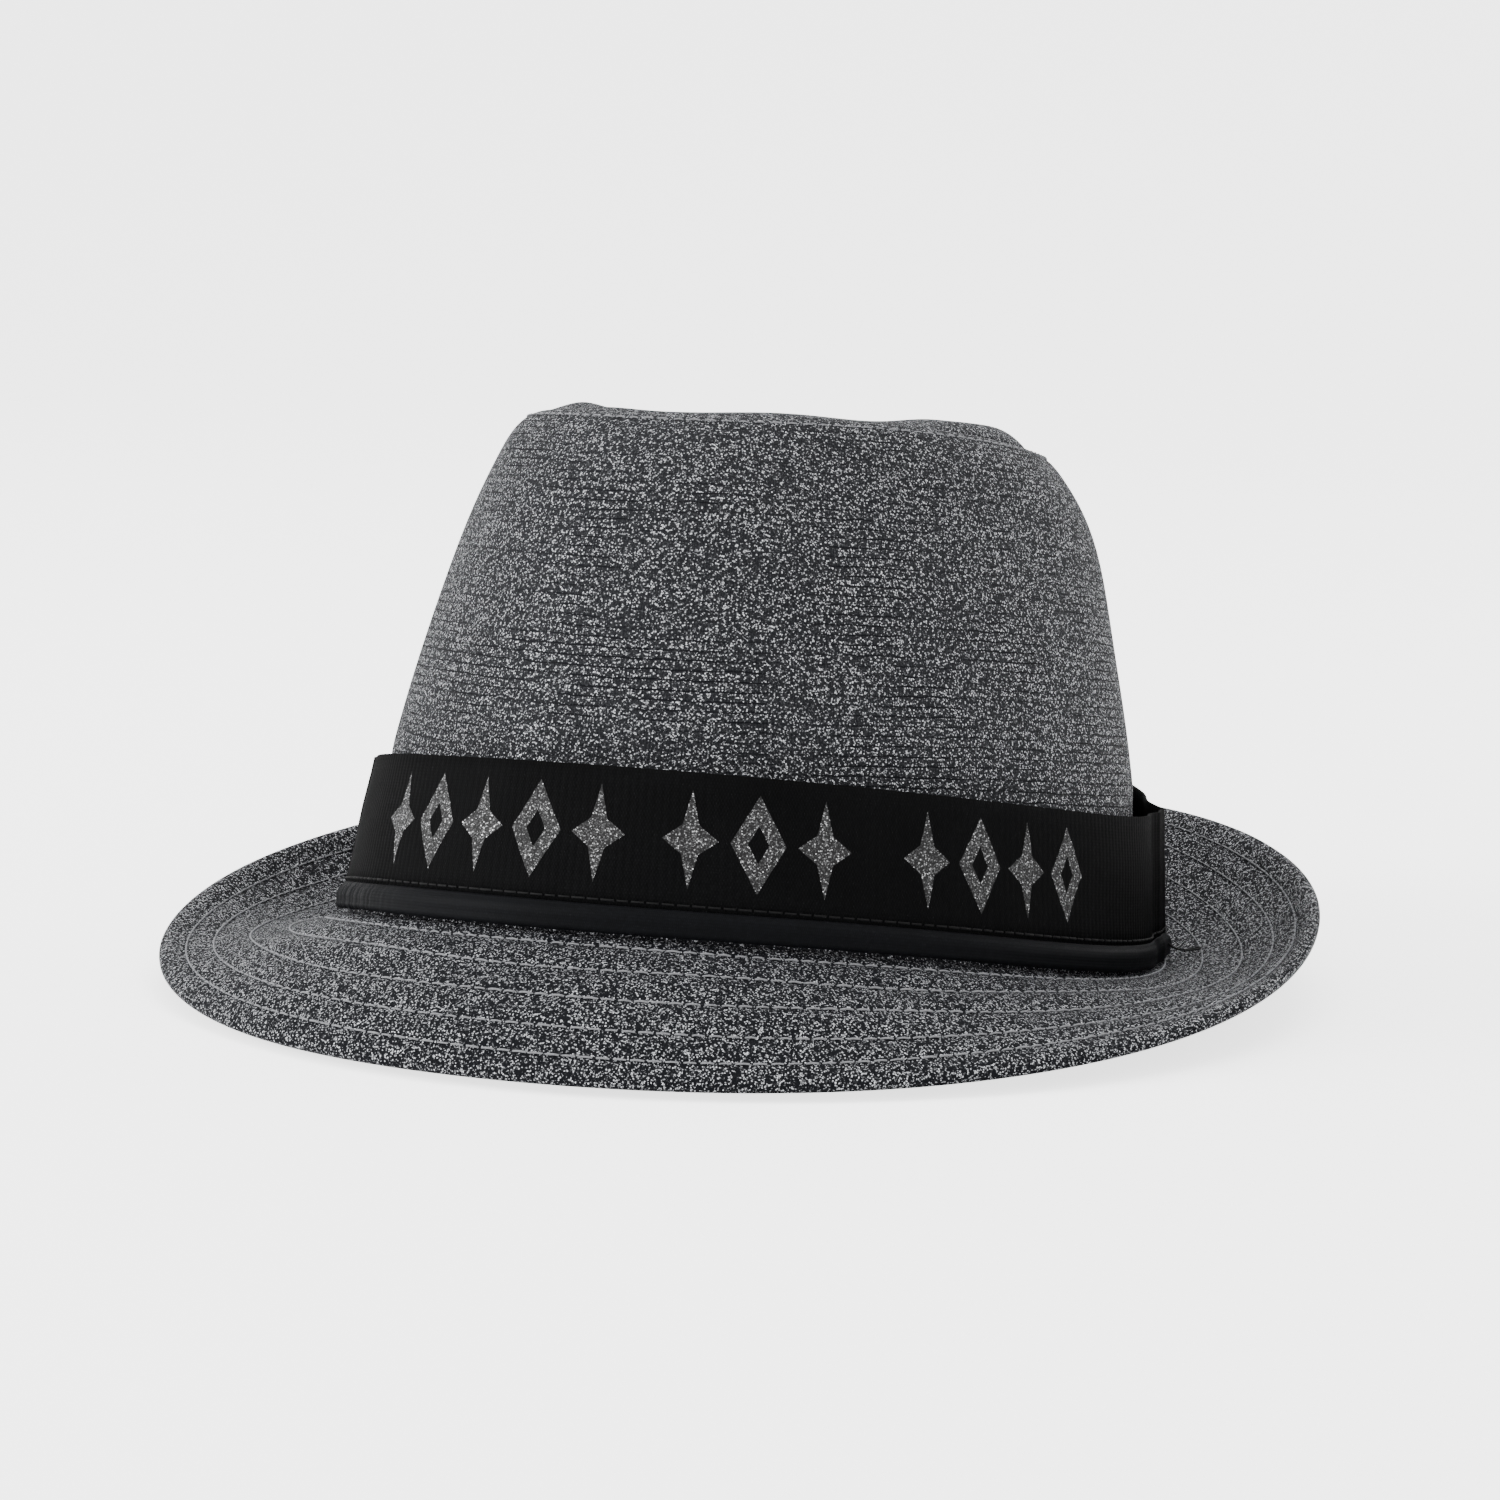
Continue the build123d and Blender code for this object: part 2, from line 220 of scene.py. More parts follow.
def ring_cloth(name, face, back, uv=None):
    """A closed ring of cloth between two grids, both rows by columns by xyz."""
    rows, columns = face.shape[:2]
    step = np.linalg.norm(np.roll(face[rows // 2], -1, 0) - face[rows // 2], axis=-1)
    width = step.sum()
    rise = np.linalg.norm(np.diff(face, axis=0), axis=-1).mean(1)
    high = np.concatenate([[0], np.cumsum(rise)])
    wrapped = uv is None
    if wrapped:
        u = np.concatenate([[0], np.cumsum(step)[:-1]])
        uv = np.stack(np.broadcast_arrays(u[None, :], high[:, None]), -1)
    verts = np.concatenate([face.reshape(-1, 3), back.reshape(-1, 3)])
    i, j = np.meshgrid(np.arange(rows - 1), np.arange(columns), indexing="ij")
    k = (j + 1) % columns
    a, b = i * columns + j, i * columns + k
    c, d = (i + 1) * columns + k, (i + 1) * columns + j
    n = rows * columns
    outer = np.stack([a, b, c, d], -1).reshape(-1, 4)
    inner = np.stack([a + n, d + n, c + n, b + n], -1).reshape(-1, 4)
    j = np.arange(columns)
    k = (j + 1) % columns
    top = (rows - 1) * columns
    low_rim = np.stack([j, j + n, k + n, k], -1)
    top_rim = np.stack([top + j, top + k, top + k + n, top + j + n], -1)
    faces = np.concatenate([outer, inner, low_rim, top_rim]).tolist()
    obj = new_mesh(name, stand(verts), faces, np.tile(uv.reshape(-1, 2) / 1000, (2, 1)))
    if wrapped:
        set_wrapped_uv(obj, columns, width / 1000)
    return face_outward(obj)


def face_outward(obj):
    """Turn the faces over if the closed piece is inside out."""
    mesh = obj.data
    co = np.zeros(len(mesh.vertices) * 3, np.float32)
    mesh.vertices.foreach_get("co", co)
    co = co.reshape(-1, 3).astype(float)
    mesh.calc_loop_triangles()
    tri = np.zeros(len(mesh.loop_triangles) * 3, np.int32)
    mesh.loop_triangles.foreach_get("vertices", tri)
    p = co[tri.reshape(-1, 3)]
    volume = np.einsum("ij,ij->i", p[:, 0], np.cross(p[:, 1], p[:, 2])).sum() / 6
    if volume < 0:
        mesh.flip_normals()
    return obj


def grid(rows, columns, low=0.0, high=1.0):
    """Angles round the hat and a parameter up the piece."""
    phi = np.linspace(0, 2 * pi, columns, endpoint=False)
    t = np.linspace(low, high, rows)
    return np.broadcast_arrays(phi[None, :], t[:, None])


def ripple(phi, t, size, seed, waves=7):
    """Slow unevenness of soft cloth: a few sine waves with fixed phases."""
    dice = np.random.default_rng(seed)
    total = 0.0
    for _ in range(waves):
        k, m = dice.integers(1, 9), dice.uniform(0.5, 5.0)
        total = total + np.sin(k * phi + m * t + dice.uniform(0, 2 * pi)) / waves ** 0.5
    return size * total


print("cloth helpers ready")

# %% [markdown]
# ## Wiring helpers
# Materials and stitch rows are node trees.  They could be clicked together in
# the editor; written out like this, a tree can be rebuilt and re-used.  The
# bench below only shortens "add a node, set it, feed its sockets".


# %% A bench for wiring nodes
class Bench:
    """Adds nodes to one tree and feeds their sockets."""

    def __init__(self, tree):
        self.tree = tree

    def add(self, kind, *feeds, **settings):
        made = self.tree.nodes.new(kind)
        for key, value in settings.items():
            setattr(made, key, value)
        for socket, value in feeds:
            self.feed(made.inputs[socket], value)
        return made

    def feed(self, socket, value):
        if isinstance(value, bpy.types.NodeSocket):
            self.tree.links.new(value, socket)
        else:
            socket.default_value = value

    def math(self, operation, *values):
        return self.add("ShaderNodeMath", *enumerate(values), operation=operation).outputs[0]

    def scaled(self, value, gain, base):
        """value times gain, plus base."""
        return self.math("ADD", self.math("MULTIPLY", value, gain), base)

    def between(self, value, low, high):
        """0 below low, 1 above high, and smooth in the middle."""
        return self.add("ShaderNodeMapRange", (0, value), (1, low), (2, high),
                        interpolation_type="SMOOTHSTEP").outputs[0]

    def blend(self, factor, first, second):
        return self.add("ShaderNodeMix", (0, factor), (6, first), (7, second),
                        data_type="RGBA").outputs[2]

    def noise(self, vector, scale, detail=2.0, rough=0.5):
        return self.add("ShaderNodeTexNoise", ("Vector", vector), ("Scale", scale),
                        ("Detail", detail), ("Roughness", rough)).outputs["Fac"]


def open_group(name, inputs, outputs, kind="ShaderNodeTree"):
    """A node group with named sockets: its bench, its inputs and its output node."""
    tree = bpy.data.node_groups.new(name, kind)
    for label, (sort, value) in inputs.items():
        socket = tree.interface.new_socket(label, in_out="INPUT", socket_type=sort)
        if value is not None:
            socket.default_value = value
    for label, sort in outputs.items():
        tree.interface.new_socket(label, in_out="OUTPUT", socket_type=sort)
    bench = Bench(tree)
    return bench, bench.add("NodeGroupInput").outputs, bench.add("NodeGroupOutput").inputs


FLOAT, VECTOR = "NodeSocketFloat", "NodeSocketVector"
print("wiring bench ready")

# %% [markdown]
# ## Shared shader effects
# Three effects turn up in several finishes, so each is a node group: glitter
# flecks (the lurex knit and the print), a plain weave (every woven cloth)
# and a slow drift of the tone.  The groups only put out masks and heights;
# the shader itself stays in each material.


# %% Fleck, weave and tone groups
def fleck_group():
    """Flecks of foil: which ones are lit, a chance for each, and how proud they lie."""
    bench, i, o = open_group("glitter flecks",
                             {"Place": (VECTOR, None), "Size": (FLOAT, 0.0005),
                              "Share": (FLOAT, 0.5)},
                             {"Glint": FLOAT, "Chance": FLOAT, "Height": FLOAT})
    scale = bench.math("DIVIDE", 1.0, i["Size"])
    swirl = bench.add("ShaderNodeTexNoise", ("Vector", i["Place"]), ("Scale", scale),
                      ("Detail", 1.0)).outputs["Color"]
    shift = bench.add("ShaderNodeVectorMath", (0, swirl), (1, (0.5, 0.5, 0.5)),
                      operation="SUBTRACT").outputs[0]
    wander = bench.add("ShaderNodeVectorMath", (0, shift), (3, i["Size"]),
                       operation="SCALE").outputs[0]
    place = bench.add("ShaderNodeVectorMath", (0, i["Place"]), (1, wander),
                      operation="ADD").outputs[0]
    cells = bench.add("ShaderNodeTexVoronoi", ("Vector", place), ("Scale", scale))
    chance = bench.add("ShaderNodeSeparateColor", (0, cells.outputs["Color"])).outputs[0]
    lit = bench.between(chance, bench.math("SUBTRACT", 0.95, i["Share"]),
                        bench.math("SUBTRACT", 1.15, i["Share"]))
    round_off = bench.between(cells.outputs["Distance"], 0.75, 0.25)
    glint = bench.math("MULTIPLY", lit, round_off)
    bench.feed(o["Glint"], glint)
    bench.feed(o["Chance"], chance)
    bench.feed(o["Height"], bench.math("MULTIPLY", round_off, bench.math("ADD", chance, 0.3)))
    return bench.tree


def weave_group():
    """Threads over and under each other along the cloth's own two directions."""
    bench, i, o = open_group("plain weave",
                             {"Cloth": (VECTOR, None), "Thread": (FLOAT, 0.0004)},
                             {"Height": FLOAT, "Gap": FLOAT})
    split = bench.add("ShaderNodeSeparateXYZ", (0, i["Cloth"]))
    waves = []
    for axis in (0, 1):
        turn = bench.math("DIVIDE", split.outputs[axis], i["Thread"])
        waves.append(bench.math("SINE", bench.math("MULTIPLY", turn, pi)))
    over = bench.math("MULTIPLY", waves[0], waves[1])
    bench.feed(o["Height"], bench.scaled(over, 0.5, 0.5))
    bench.feed(o["Gap"], bench.between(bench.math("ABSOLUTE", over), 0.25, 0.0))
    return bench.tree


def tone_group():
    """Slow light and dark patches."""
    bench, i, o = open_group("slow tone",
                             {"Place": (VECTOR, None), "Patch": (FLOAT, 0.03)},
                             {"Tone": FLOAT})
    scale = bench.math("DIVIDE", 1.0, i["Patch"])
    bench.feed(o["Tone"], bench.noise(i["Place"], scale, 3.0, 0.6))
    return bench.tree


FLECKS, WEAVE, TONE = fleck_group(), weave_group(), tone_group()
print("shader groups:", FLECKS.name, "/", WEAVE.name, "/", TONE.name)

# %% [markdown]
# ## The finishes
# Lurex is a flat metal foil knitted in with black yarn, so the cloth is dark
# with bright loops that light up one by one.  It could be painted as noise;
# here short bright loops and single flecks lie on dark courses, each with its
# own height.  Which loops light up is painted into the colour as painted
# glints on the silver foil, so those glints stay put; only the metal shine
# and the bumps move with the light.


def open_material(slot, roughness=0.6, sheen=0.0, specular=0.5, name=None):
    """A new material, named after its slot unless a name is given, with the main sockets set."""
    material = bpy.data.materials.new(name or slot + "_finish")
    material.use_nodes = True
    shader = material.node_tree.nodes["Principled BSDF"]
    shader.inputs["Roughness"].default_value = roughness
    shader.inputs["Sheen Weight"].default_value = sheen
    shader.inputs["Specular IOR Level"].default_value = specular
    return material, Bench(material.node_tree), shader.inputs


def use(bench, tree, feeds):
    """Place a shader group in a material and feed it."""
    made = bench.add("ShaderNodeGroup", node_tree=tree)
    for socket, value in feeds:
        bench.feed(made.inputs[socket], value)
    return made.outputs


def bump(bench, shader, height, distance, strength):
    """Raise the finish by distance metres where height is 1."""
    made = bench.add("ShaderNodeBump", ("Height", height), ("Distance", distance),
                     ("Strength", strength))
    bench.feed(shader["Normal"], made.outputs[0])


def grey(value, blue=0.0):
    """An sRGB grey from 0 to 255 as linear colour, a little cool if blue is set."""
    lin = [((v / 255 + 0.055) / 1.055) ** 2.4 if v > 10 else v / 255 / 12.92
           for v in (value, value + blue * 0.25, value + blue)]
    return (*lin, 1.0)


# %% Lurex knit
COURSE, WALE = 0.0020, 0.00066
FLECK, LOOP, CURL = 0.00030, 0.00052, 0.00062
WAVER, WAVER_LONG = 0.0008, 0.004
KNIT_PATCH = 0.022
FOIL_METAL, YARN_ROUGH, FOIL_ROUGH = 0.7, 0.75, 0.35


def lurex_material(name, slot, share, base, rows):
    """share: how many loops get a painted glint; base: tone of the yarn; rows: how dark the course
    lines are.
    """
    material, bench, shader = open_material(slot, specular=0.07, name=name)
    place = bench.add("ShaderNodeTexCoord").outputs["Object"]
    cloth = bench.add("ShaderNodeUVMap", uv_map="cloth").outputs[0]
    small = use(bench, FLECKS, (("Place", place), ("Size", FLECK), ("Share", share)))
    loops = use(bench, FLECKS, (("Place", place), ("Size", LOOP), ("Share", share * 0.9)))
    worm = bench.noise(place, 1 / CURL, 1.0)
    ridge = bench.math("ABSOLUTE", bench.math("SUBTRACT", worm, 0.5))
    curl = bench.between(ridge, 0.05, 0.012)
    split = bench.add("ShaderNodeSeparateXYZ", (0, cloth))
    waver = bench.math("MULTIPLY", bench.noise(place, 1 / WAVER_LONG, 1.0), WAVER)
    row = bench.math("DIVIDE", bench.math("ADD", split.outputs[1], waver), COURSE)
    valley = bench.math("ABSOLUTE", bench.math("SINE", bench.math("MULTIPLY", row, pi)))
    patch = use(bench, TONE, (("Place", place), ("Patch", KNIT_PATCH)))["Tone"]
    clear = bench.between(patch, 0.38, 0.62)
    course = bench.math("MULTIPLY", bench.between(valley, 0.40, 0.06),
                        bench.scaled(clear, rows, rows * 0.4))
    column = bench.math("DIVIDE", split.outputs[0], WALE)
    wale = bench.math("ABSOLUTE", bench.math("SINE", bench.math("MULTIPLY", column, pi)))
    yarn = bench.math("MULTIPLY", bench.scaled(wale, 0.9, 0.35),
                      bench.scaled(small["Chance"], 1.1, 0.4))
    yarn = bench.math("MULTIPLY", yarn, base)
    # painted glint: a share of the foil flecks and loops is painted bright into the colour,
    # standing in for the ones that catch the light
    painted_glint = bench.math("ADD", bench.math("MULTIPLY", small["Glint"], 0.85),
                       bench.math("MULTIPLY", bench.math("MULTIPLY", loops["Glint"], curl), 0.7))
    faint = bench.math("MULTIPLY", curl, base * 1.6)
    lit = bench.math("MULTIPLY", bench.math("ADD", bench.math("ADD", yarn, faint), painted_glint),
                     bench.math("SUBTRACT", 1.0, course))
    tone = bench.scaled(patch, 0.5, 0.75)
    # the base colour mixes the real silver foil with these painted glints; metallic and bump add
    # the real shine
    foil = bench.math("MINIMUM", bench.math("MULTIPLY", lit, tone), 1.0)
    bench.feed(shader["Base Color"], bench.blend(foil, grey(6, 7), grey(240, 6)))
    metal = bench.math("MULTIPLY", bench.between(foil, 0.2, 0.5), FOIL_METAL)
    polish = bench.scaled(bench.between(foil, 0.1, 0.5), FOIL_ROUGH - YARN_ROUGH, YARN_ROUGH)
    bench.feed(shader["Metallic"], metal)
    bench.feed(shader["Roughness"], polish)
    height = bench.math("ADD", bench.math("MULTIPLY", small["Height"], 0.8),
                        bench.math("SUBTRACT", curl, course))
    bump(bench, shader, height, 0.00022, 0.8)
    return material


lurex = lurex_material("lurex_wall", "glitter_knit", 0.205, 0.0145, 0.78)
lurex_brim = lurex_material("lurex_brim", "glitter_knit", 0.25, 0.0034, 0.30)
print("knit courses every", COURSE * 1000, "mm, wales every", WALE * 1000, "mm")

# %% [markdown]
# ## Woven cloths
# Ribbon, satin, lining, sweatband, stiffener and cord are all woven, and only
# the thread, the shine and the tone differ.  A flat colour would do from far
# away; here one recipe takes those values, so the cloths look like a family.
# The satin and the ribbon have the weave drawn out along the tape.

# %% Ribbon, satin and inside cloths
FLUFF = 0.0009


def woven_material(slot, dark, light, thread, roughness, depth=0.0001, sheen=0.0,
                   stretch=(1.0, 1.0, 1.0), specular=0.35):
    """A plain or ribbed weave in two close tones of one colour."""
    material, bench, shader = open_material(slot, roughness, sheen, specular)
    place = bench.add("ShaderNodeTexCoord").outputs["Object"]
    cloth = bench.add("ShaderNodeUVMap", uv_map="cloth").outputs[0]
    scaled = bench.add("ShaderNodeVectorMath", (0, cloth), (1, stretch),
                       operation="MULTIPLY").outputs[0]
    weave = use(bench, WEAVE, (("Cloth", scaled), ("Thread", thread)))
    tone = use(bench, TONE, (("Place", place), ("Patch", 0.02)))["Tone"]
    fluff = bench.noise(place, 1 / FLUFF, 2.0)
    mix = bench.math("ADD", bench.math("MULTIPLY", weave["Height"], 0.45),
                     bench.math("MULTIPLY", bench.math("MULTIPLY", tone, fluff), 1.2))
    lit = bench.math("MULTIPLY", mix, bench.scaled(weave["Gap"], -0.5, 1.0))
    bench.feed(shader["Base Color"], bench.blend(lit, dark, light))
    bench.feed(shader["Roughness"], bench.scaled(fluff, 0.16, roughness - 0.08))
    bump(bench, shader, weave["Height"], depth, 0.7)
    return material


grosgrain = woven_material("grosgrain", grey(5), grey(17, 1), 0.00032, 0.7, 0.00006,
                           stretch=(1.0, 0.5, 1.0), specular=0.015)
satin = woven_material("satin", grey(6), grey(19, 4), 0.00018, 0.55, 0.00004,
                       stretch=(1.0, 0.35, 1.0), specular=0.03)
lining_cloth = woven_material("lining", grey(14, 2), grey(30, 3), 0.00035, 0.55, 0.00006,
                              specular=0.15)
stiffener_cloth = woven_material("stiffener", grey(120), grey(160), 0.0005, 0.85)
sweat_cloth = woven_material("sweatband_cloth", grey(12, 2), grey(34, 3), 0.0006, 0.8, 0.00012,
                             specular=0.12)
cotton = woven_material("cotton_cord", grey(200), grey(226), 0.0008, 0.9, 0.0002, sheen=0.2)
print("woven cloths:", grosgrain.name, satin.name, lining_cloth.name, sweat_cloth.name)

# %% [markdown]
# ## Print and thread
# The print is bright flecks close together in dark ink.  Spun thread is two
# close tones with a fine twist.  Neither has a weave, so both read their
# place in the hat and need no UV map.

# %% Print and thread
PRINT_FLECK, PRINT_PATCH, STRAND = 0.00030, 0.006, 0.0004


def print_material():
    """Ground foil in clear ink: bright flecks close together, black in between."""
    material, bench, shader = open_material("glitter_print", 0.4, specular=0.1)
    place = bench.add("ShaderNodeTexCoord").outputs["Object"]
    flecks = use(bench, FLECKS, (("Place", place), ("Size", PRINT_FLECK), ("Share", 0.66)))
    tone = use(bench, TONE, (("Place", place), ("Patch", PRINT_PATCH)))["Tone"]
    lit = bench.math("MULTIPLY", flecks["Glint"],
                     bench.math("ADD", bench.math("POWER", flecks["Chance"], 9.0),
                                bench.math("MULTIPLY", tone, 0.13)))
    base = bench.math("MINIMUM", bench.math("ADD", lit, 0.015), 1.0)
    bench.feed(shader["Base Color"], bench.blend(base, grey(12), grey(226, 2)))
    bench.feed(shader["Metallic"], bench.math("MULTIPLY", lit, 0.55))
    bench.feed(shader["Roughness"], bench.scaled(flecks["Chance"], -0.3, 0.62))
    bump(bench, shader, flecks["Height"], 0.00015, 0.8)
    return material


def thread_material(slot, dark, light):
    """Spun thread: two close tones and a fine twist."""
    material, bench, shader = open_material(slot, 0.7, specular=0.15)
    place = bench.add("ShaderNodeTexCoord").outputs["Object"]
    strand = bench.noise(place, 1 / STRAND, 2.0)
    bench.feed(shader["Base Color"], bench.blend(strand, dark, light))
    bump(bench, shader, strand, 0.00008, 0.7)
    return material


glitter_print = print_material()
grey_thread = thread_material("grey_thread", grey(84, 3), grey(146, 4))
black_thread = thread_material("black_thread", grey(5), grey(16, 1))
print("finishes:", sorted(m.name for m in bpy.data.materials))

# %% [markdown]
# ## Crown wall: knit, stiffener and lining
# The wall is one strip of knit with a stiffener and a lining behind it.  It
# could be drawn as a cone and pushed about; here each layer is the same wall
# formula at its own depth.  A slow ripple is shared by all three layers, so
# the soft wall isn't a perfect solid of turning, and the layers stay apart.

# %% Crown wall
HAT, BAND = "hat", "hatband"
GAP = 0.05
WALL_DROP = 2.3
WALL_RIPPLE = 0.32


def wall_rings(outer, inner, rows, columns):
    """Face and back of one layer, which is still where the tip and the sweatband hold it."""
    phi, t = grid(rows, columns)
    start = wall_height(phi, -WALL_DROP)
    v = start + (1 - start) * t
    soft = ripple(phi, 7 * v, WALL_RIPPLE, seed=4)
    soft = soft * np.clip((v - 0.3) / 0.2, 0, 1) * np.clip((1 - v) / 0.12, 0, 1)
    return wall_point(phi, v, outer + soft), wall_point(phi, v, inner + soft)


def dress(obj, material, body, *nodes):
    """Give a finished piece its cloth and its body, and hide the CAD nodes that it stands for."""
    obj.data.materials.clear()
    obj.data.materials.append(material)
    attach(obj, body)
    if nodes:
        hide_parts(*nodes)
    return obj


STIFF_AT = KNIT + GAP
LINING_AT = STIFF_AT + STIFF + GAP
crown_wall = ring_cloth("crown_wall_cloth", *wall_rings(0, KNIT, 64, 320))
wall_stiffener = ring_cloth("crown_wall_stiffener",
                            *wall_rings(STIFF_AT, STIFF_AT + STIFF, 24, 120))
wall_lining = ring_cloth("crown_wall_lining", *wall_rings(LINING_AT, LINING_AT + LINING, 48, 240))
for piece, cloth, layer in ((crown_wall, lurex, "knit"),
                            (wall_stiffener, stiffener_cloth, "stiffener"),
                            (wall_lining, lining_cloth, "lining")):
    dress(piece, cloth, HAT, "crown_side_" + layer)
print("crown wall layers:", len(crown_wall.data.polygons), "faces in the knit")

# %% [markdown]
# ## Tip of the crown
# The tip is an oval cut separately and sewn on, so its edge rolls over, the
# two front corners are pinched in and the middle is pressed down.  It could
# be sculpted; a height rule gives the same three features and can be put
# under every layer.  Rings shrink to a single closed point in the middle.


# %% Tip layers
TIP_INSET, TIP_RIPPLE = 0.35, 0.3


def disc_cloth(name, face, back, uv):
    """A closed disc between two polar grids whose first row is the middle."""
    rows, columns = face.shape[:2]
    n = 1 + (rows - 1) * columns

    def flatten(points):
        return np.concatenate([points[0, :1], points[1:].reshape(-1, points.shape[-1])])

    j = np.arange(columns)
    k = (j + 1) % columns
    faces = [(0, 1 + a, 1 + b) for a, b in zip(j, k)]
    faces += [(n, n + 1 + b, n + 1 + a) for a, b in zip(j, k)]
    for i in range(rows - 2):
        a, b = 1 + i * columns + j, 1 + i * columns + k
        c, d = b + columns, a + columns
        faces += np.stack([a, d, c, b], -1).tolist()
        faces += np.stack([a + n, b + n, c + n, d + n], -1).tolist()
    rim = 1 + (rows - 2) * columns
    faces += np.stack([rim + j, rim + j + n, rim + k + n, rim + k], -1).tolist()
    verts = np.concatenate([flatten(face), flatten(back)])
    uvs = np.tile(flatten(uv) / 1000, (2, 1))
    return face_outward(new_mesh(name, stand(verts), faces, uvs))


def tip_layer(name, top, bottom, rows, columns):
    """One layer of the tip, between two depths under the height rule."""
    phi, rho = grid(rows, columns)
    x = (TIP_B - TIP_INSET) * rho * np.sin(phi)
    y = TIP_BACK - (TIP_A - TIP_INSET) * rho * np.cos(phi)
    soft = ripple(phi, 5 * rho, TIP_RIPPLE, seed=9) * rho * np.clip((1 - rho) / 0.15, 0, 1)
    z = tip_height(x, y) + soft
    return disc_cloth(name, np.stack([x, y, z - top], -1), np.stack([x, y, z - bottom], -1),
                      np.stack([x, y], -1))


for layer, cloth, top, bottom, rows, columns in (
        ("knit", lurex, 0.0, KNIT, 60, 240),
        ("stiffener", stiffener_cloth, STIFF_AT, STIFF_AT + STIFF, 24, 100),
        ("lining", lining_cloth, LINING_AT, LINING_AT + LINING, 40, 160)):
    piece = tip_layer("crown_tip_" + layer + "_cloth", top, bottom, rows, columns)
    dress(piece, cloth, HAT, "crown_tip_" + layer)
print("crown tip layers made")

# %% [markdown]
# ## Brim
# Two rings of knit are turned right side out over a stiffener and quilted
# together by rows of topstitching.  It could be a lathe shape with a bump
# map; real stitching pulls the cloth down to the stiffener, so the layers
# swell a little between the rows, and the outer edge rolls over.

# %% Brim layers
WALL_FLARE, PUFF = 0.27, 0.42
SEAM_ROOM, EDGE_FROM = 0.15, 1.0
BRIM_RIPPLE = 0.28
BRIM_COLUMNS, CORE_COLUMNS = 420, 160


def brim_start(phi, off):
    """Where the brim begins, clear of the leaning wall, at a height off above its face."""
    slope = np.radians(cosines(phi, BRIM_SLOPE))
    return (SEAM_ROOM - WALL_FLARE * off + off * np.sin(slope)) / np.cos(slope)


def quilting(s):
    """How far the cloth swells away from the nearest stitch row."""
    rows = np.array([0.0, *STITCH_ROWS, BRIM_WIDTH])
    near = np.abs(np.asarray(s)[..., None] - rows).min(-1)
    return PUFF * (1 - np.exp(-(near / 1.3) ** 1.6))


def brim_waver(phi, s):
    """The slow ripple that all brim layers and stitch rows share."""
    return ripple(phi, s / 9, BRIM_RIPPLE, seed=21) * np.clip(s / 14, 0, 1)


def brim_rings(rows_at, columns=BRIM_COLUMNS, swell=0.0):
    """rows_at lists (share of the way out, extra s, off) for each row."""
    phi = np.linspace(0, 2 * pi, columns, endpoint=False)
    out = []
    for share, extra, off in rows_at:
        first = brim_start(phi, off)
        s = first + (BRIM_WIDTH - EDGE_FROM - first) * share + extra
        lift = off + swell * quilting(s) + brim_waver(phi, s)
        out.append(brim_point(phi, s, lift))
    return np.stack(out)


def brim_uv(columns, shares):
    """The brim laid flat, seen from above."""
    phi = np.linspace(0, 2 * pi, columns, endpoint=False)
    x, y, _ = junction(phi)
    nx, ny = outward(phi)
    s = np.array(shares)[:, None] * BRIM_WIDTH
    return np.stack([x + nx * s, y + ny * s], -1)


def brim_side(level, turned, rim):
    """Rows out over the flat part at one level and then round the rim; turned flips the rim."""
    flat = [(t, 0, level) for t in flat_part]
    return flat + [(1, s, turned * off + RIM_AT[turned]) for s, off in rim]


flat_part = [i / 55 for i in range(56)]
EDGE = ((0.45, -0.04), (0.95, -0.2), (1.3, -0.5), (1.45, -0.85), (1.47, -1.22))
TUCK = ((0.1, -0.9), (0.2, -0.93), (0.35, -1.0), (0.5, -1.1), (0.6, -1.22))
UNDERSIDE = -(2 * KNIT + STIFF + 2 * GAP)
RIM_GAP = 0.03
RIM_AT = {1: 0.0, -1: UNDERSIDE + RIM_GAP}
shares = [*flat_part, *[1.0] * len(EDGE)]
cloth_uv = brim_uv(BRIM_COLUMNS, shares)
brim_upper = ring_cloth("brim_upper_cloth", brim_rings(brim_side(0, 1, EDGE), swell=1),
                        brim_rings(brim_side(-KNIT, 1, TUCK)), cloth_uv)
brim_lower = ring_cloth("brim_lower_cloth", brim_rings(brim_side(UNDERSIDE, -1, EDGE), swell=-1),
                        brim_rings(brim_side(UNDERSIDE + KNIT, -1, TUCK)), cloth_uv)
core_part = [i / 20 for i in range(21)]
core_face, core_back = (brim_rings([(t, -0.5 * t, -depth) for t in core_part], CORE_COLUMNS)
                        for depth in (STIFF_AT, STIFF_AT + STIFF))
brim_core = ring_cloth("brim_stiffener_cloth", core_face, core_back,
                       brim_uv(CORE_COLUMNS, core_part))
for piece, cloth, node in ((brim_upper, lurex_brim, "brim_upper_knit"),
                           (brim_lower, lurex_brim, "brim_lower_knit"),
                           (brim_core, stiffener_cloth, "brim_stiffener")):
    dress(piece, cloth, HAT, node)
print("brim: quilted", PUFF, "mm proud between", len(STITCH_ROWS), "rows")

# %% [markdown]
# ## Rows of stitching
# A machine stitch is a short arc of thread that goes down into the cloth at
# both ends.  Hundreds of them could be copied by hand; a geometry nodes tree
# walks along a guide line, drops one small arc at every stitch, turns it to
# the line and to the cloth, and varies each a little from a fixed seed.


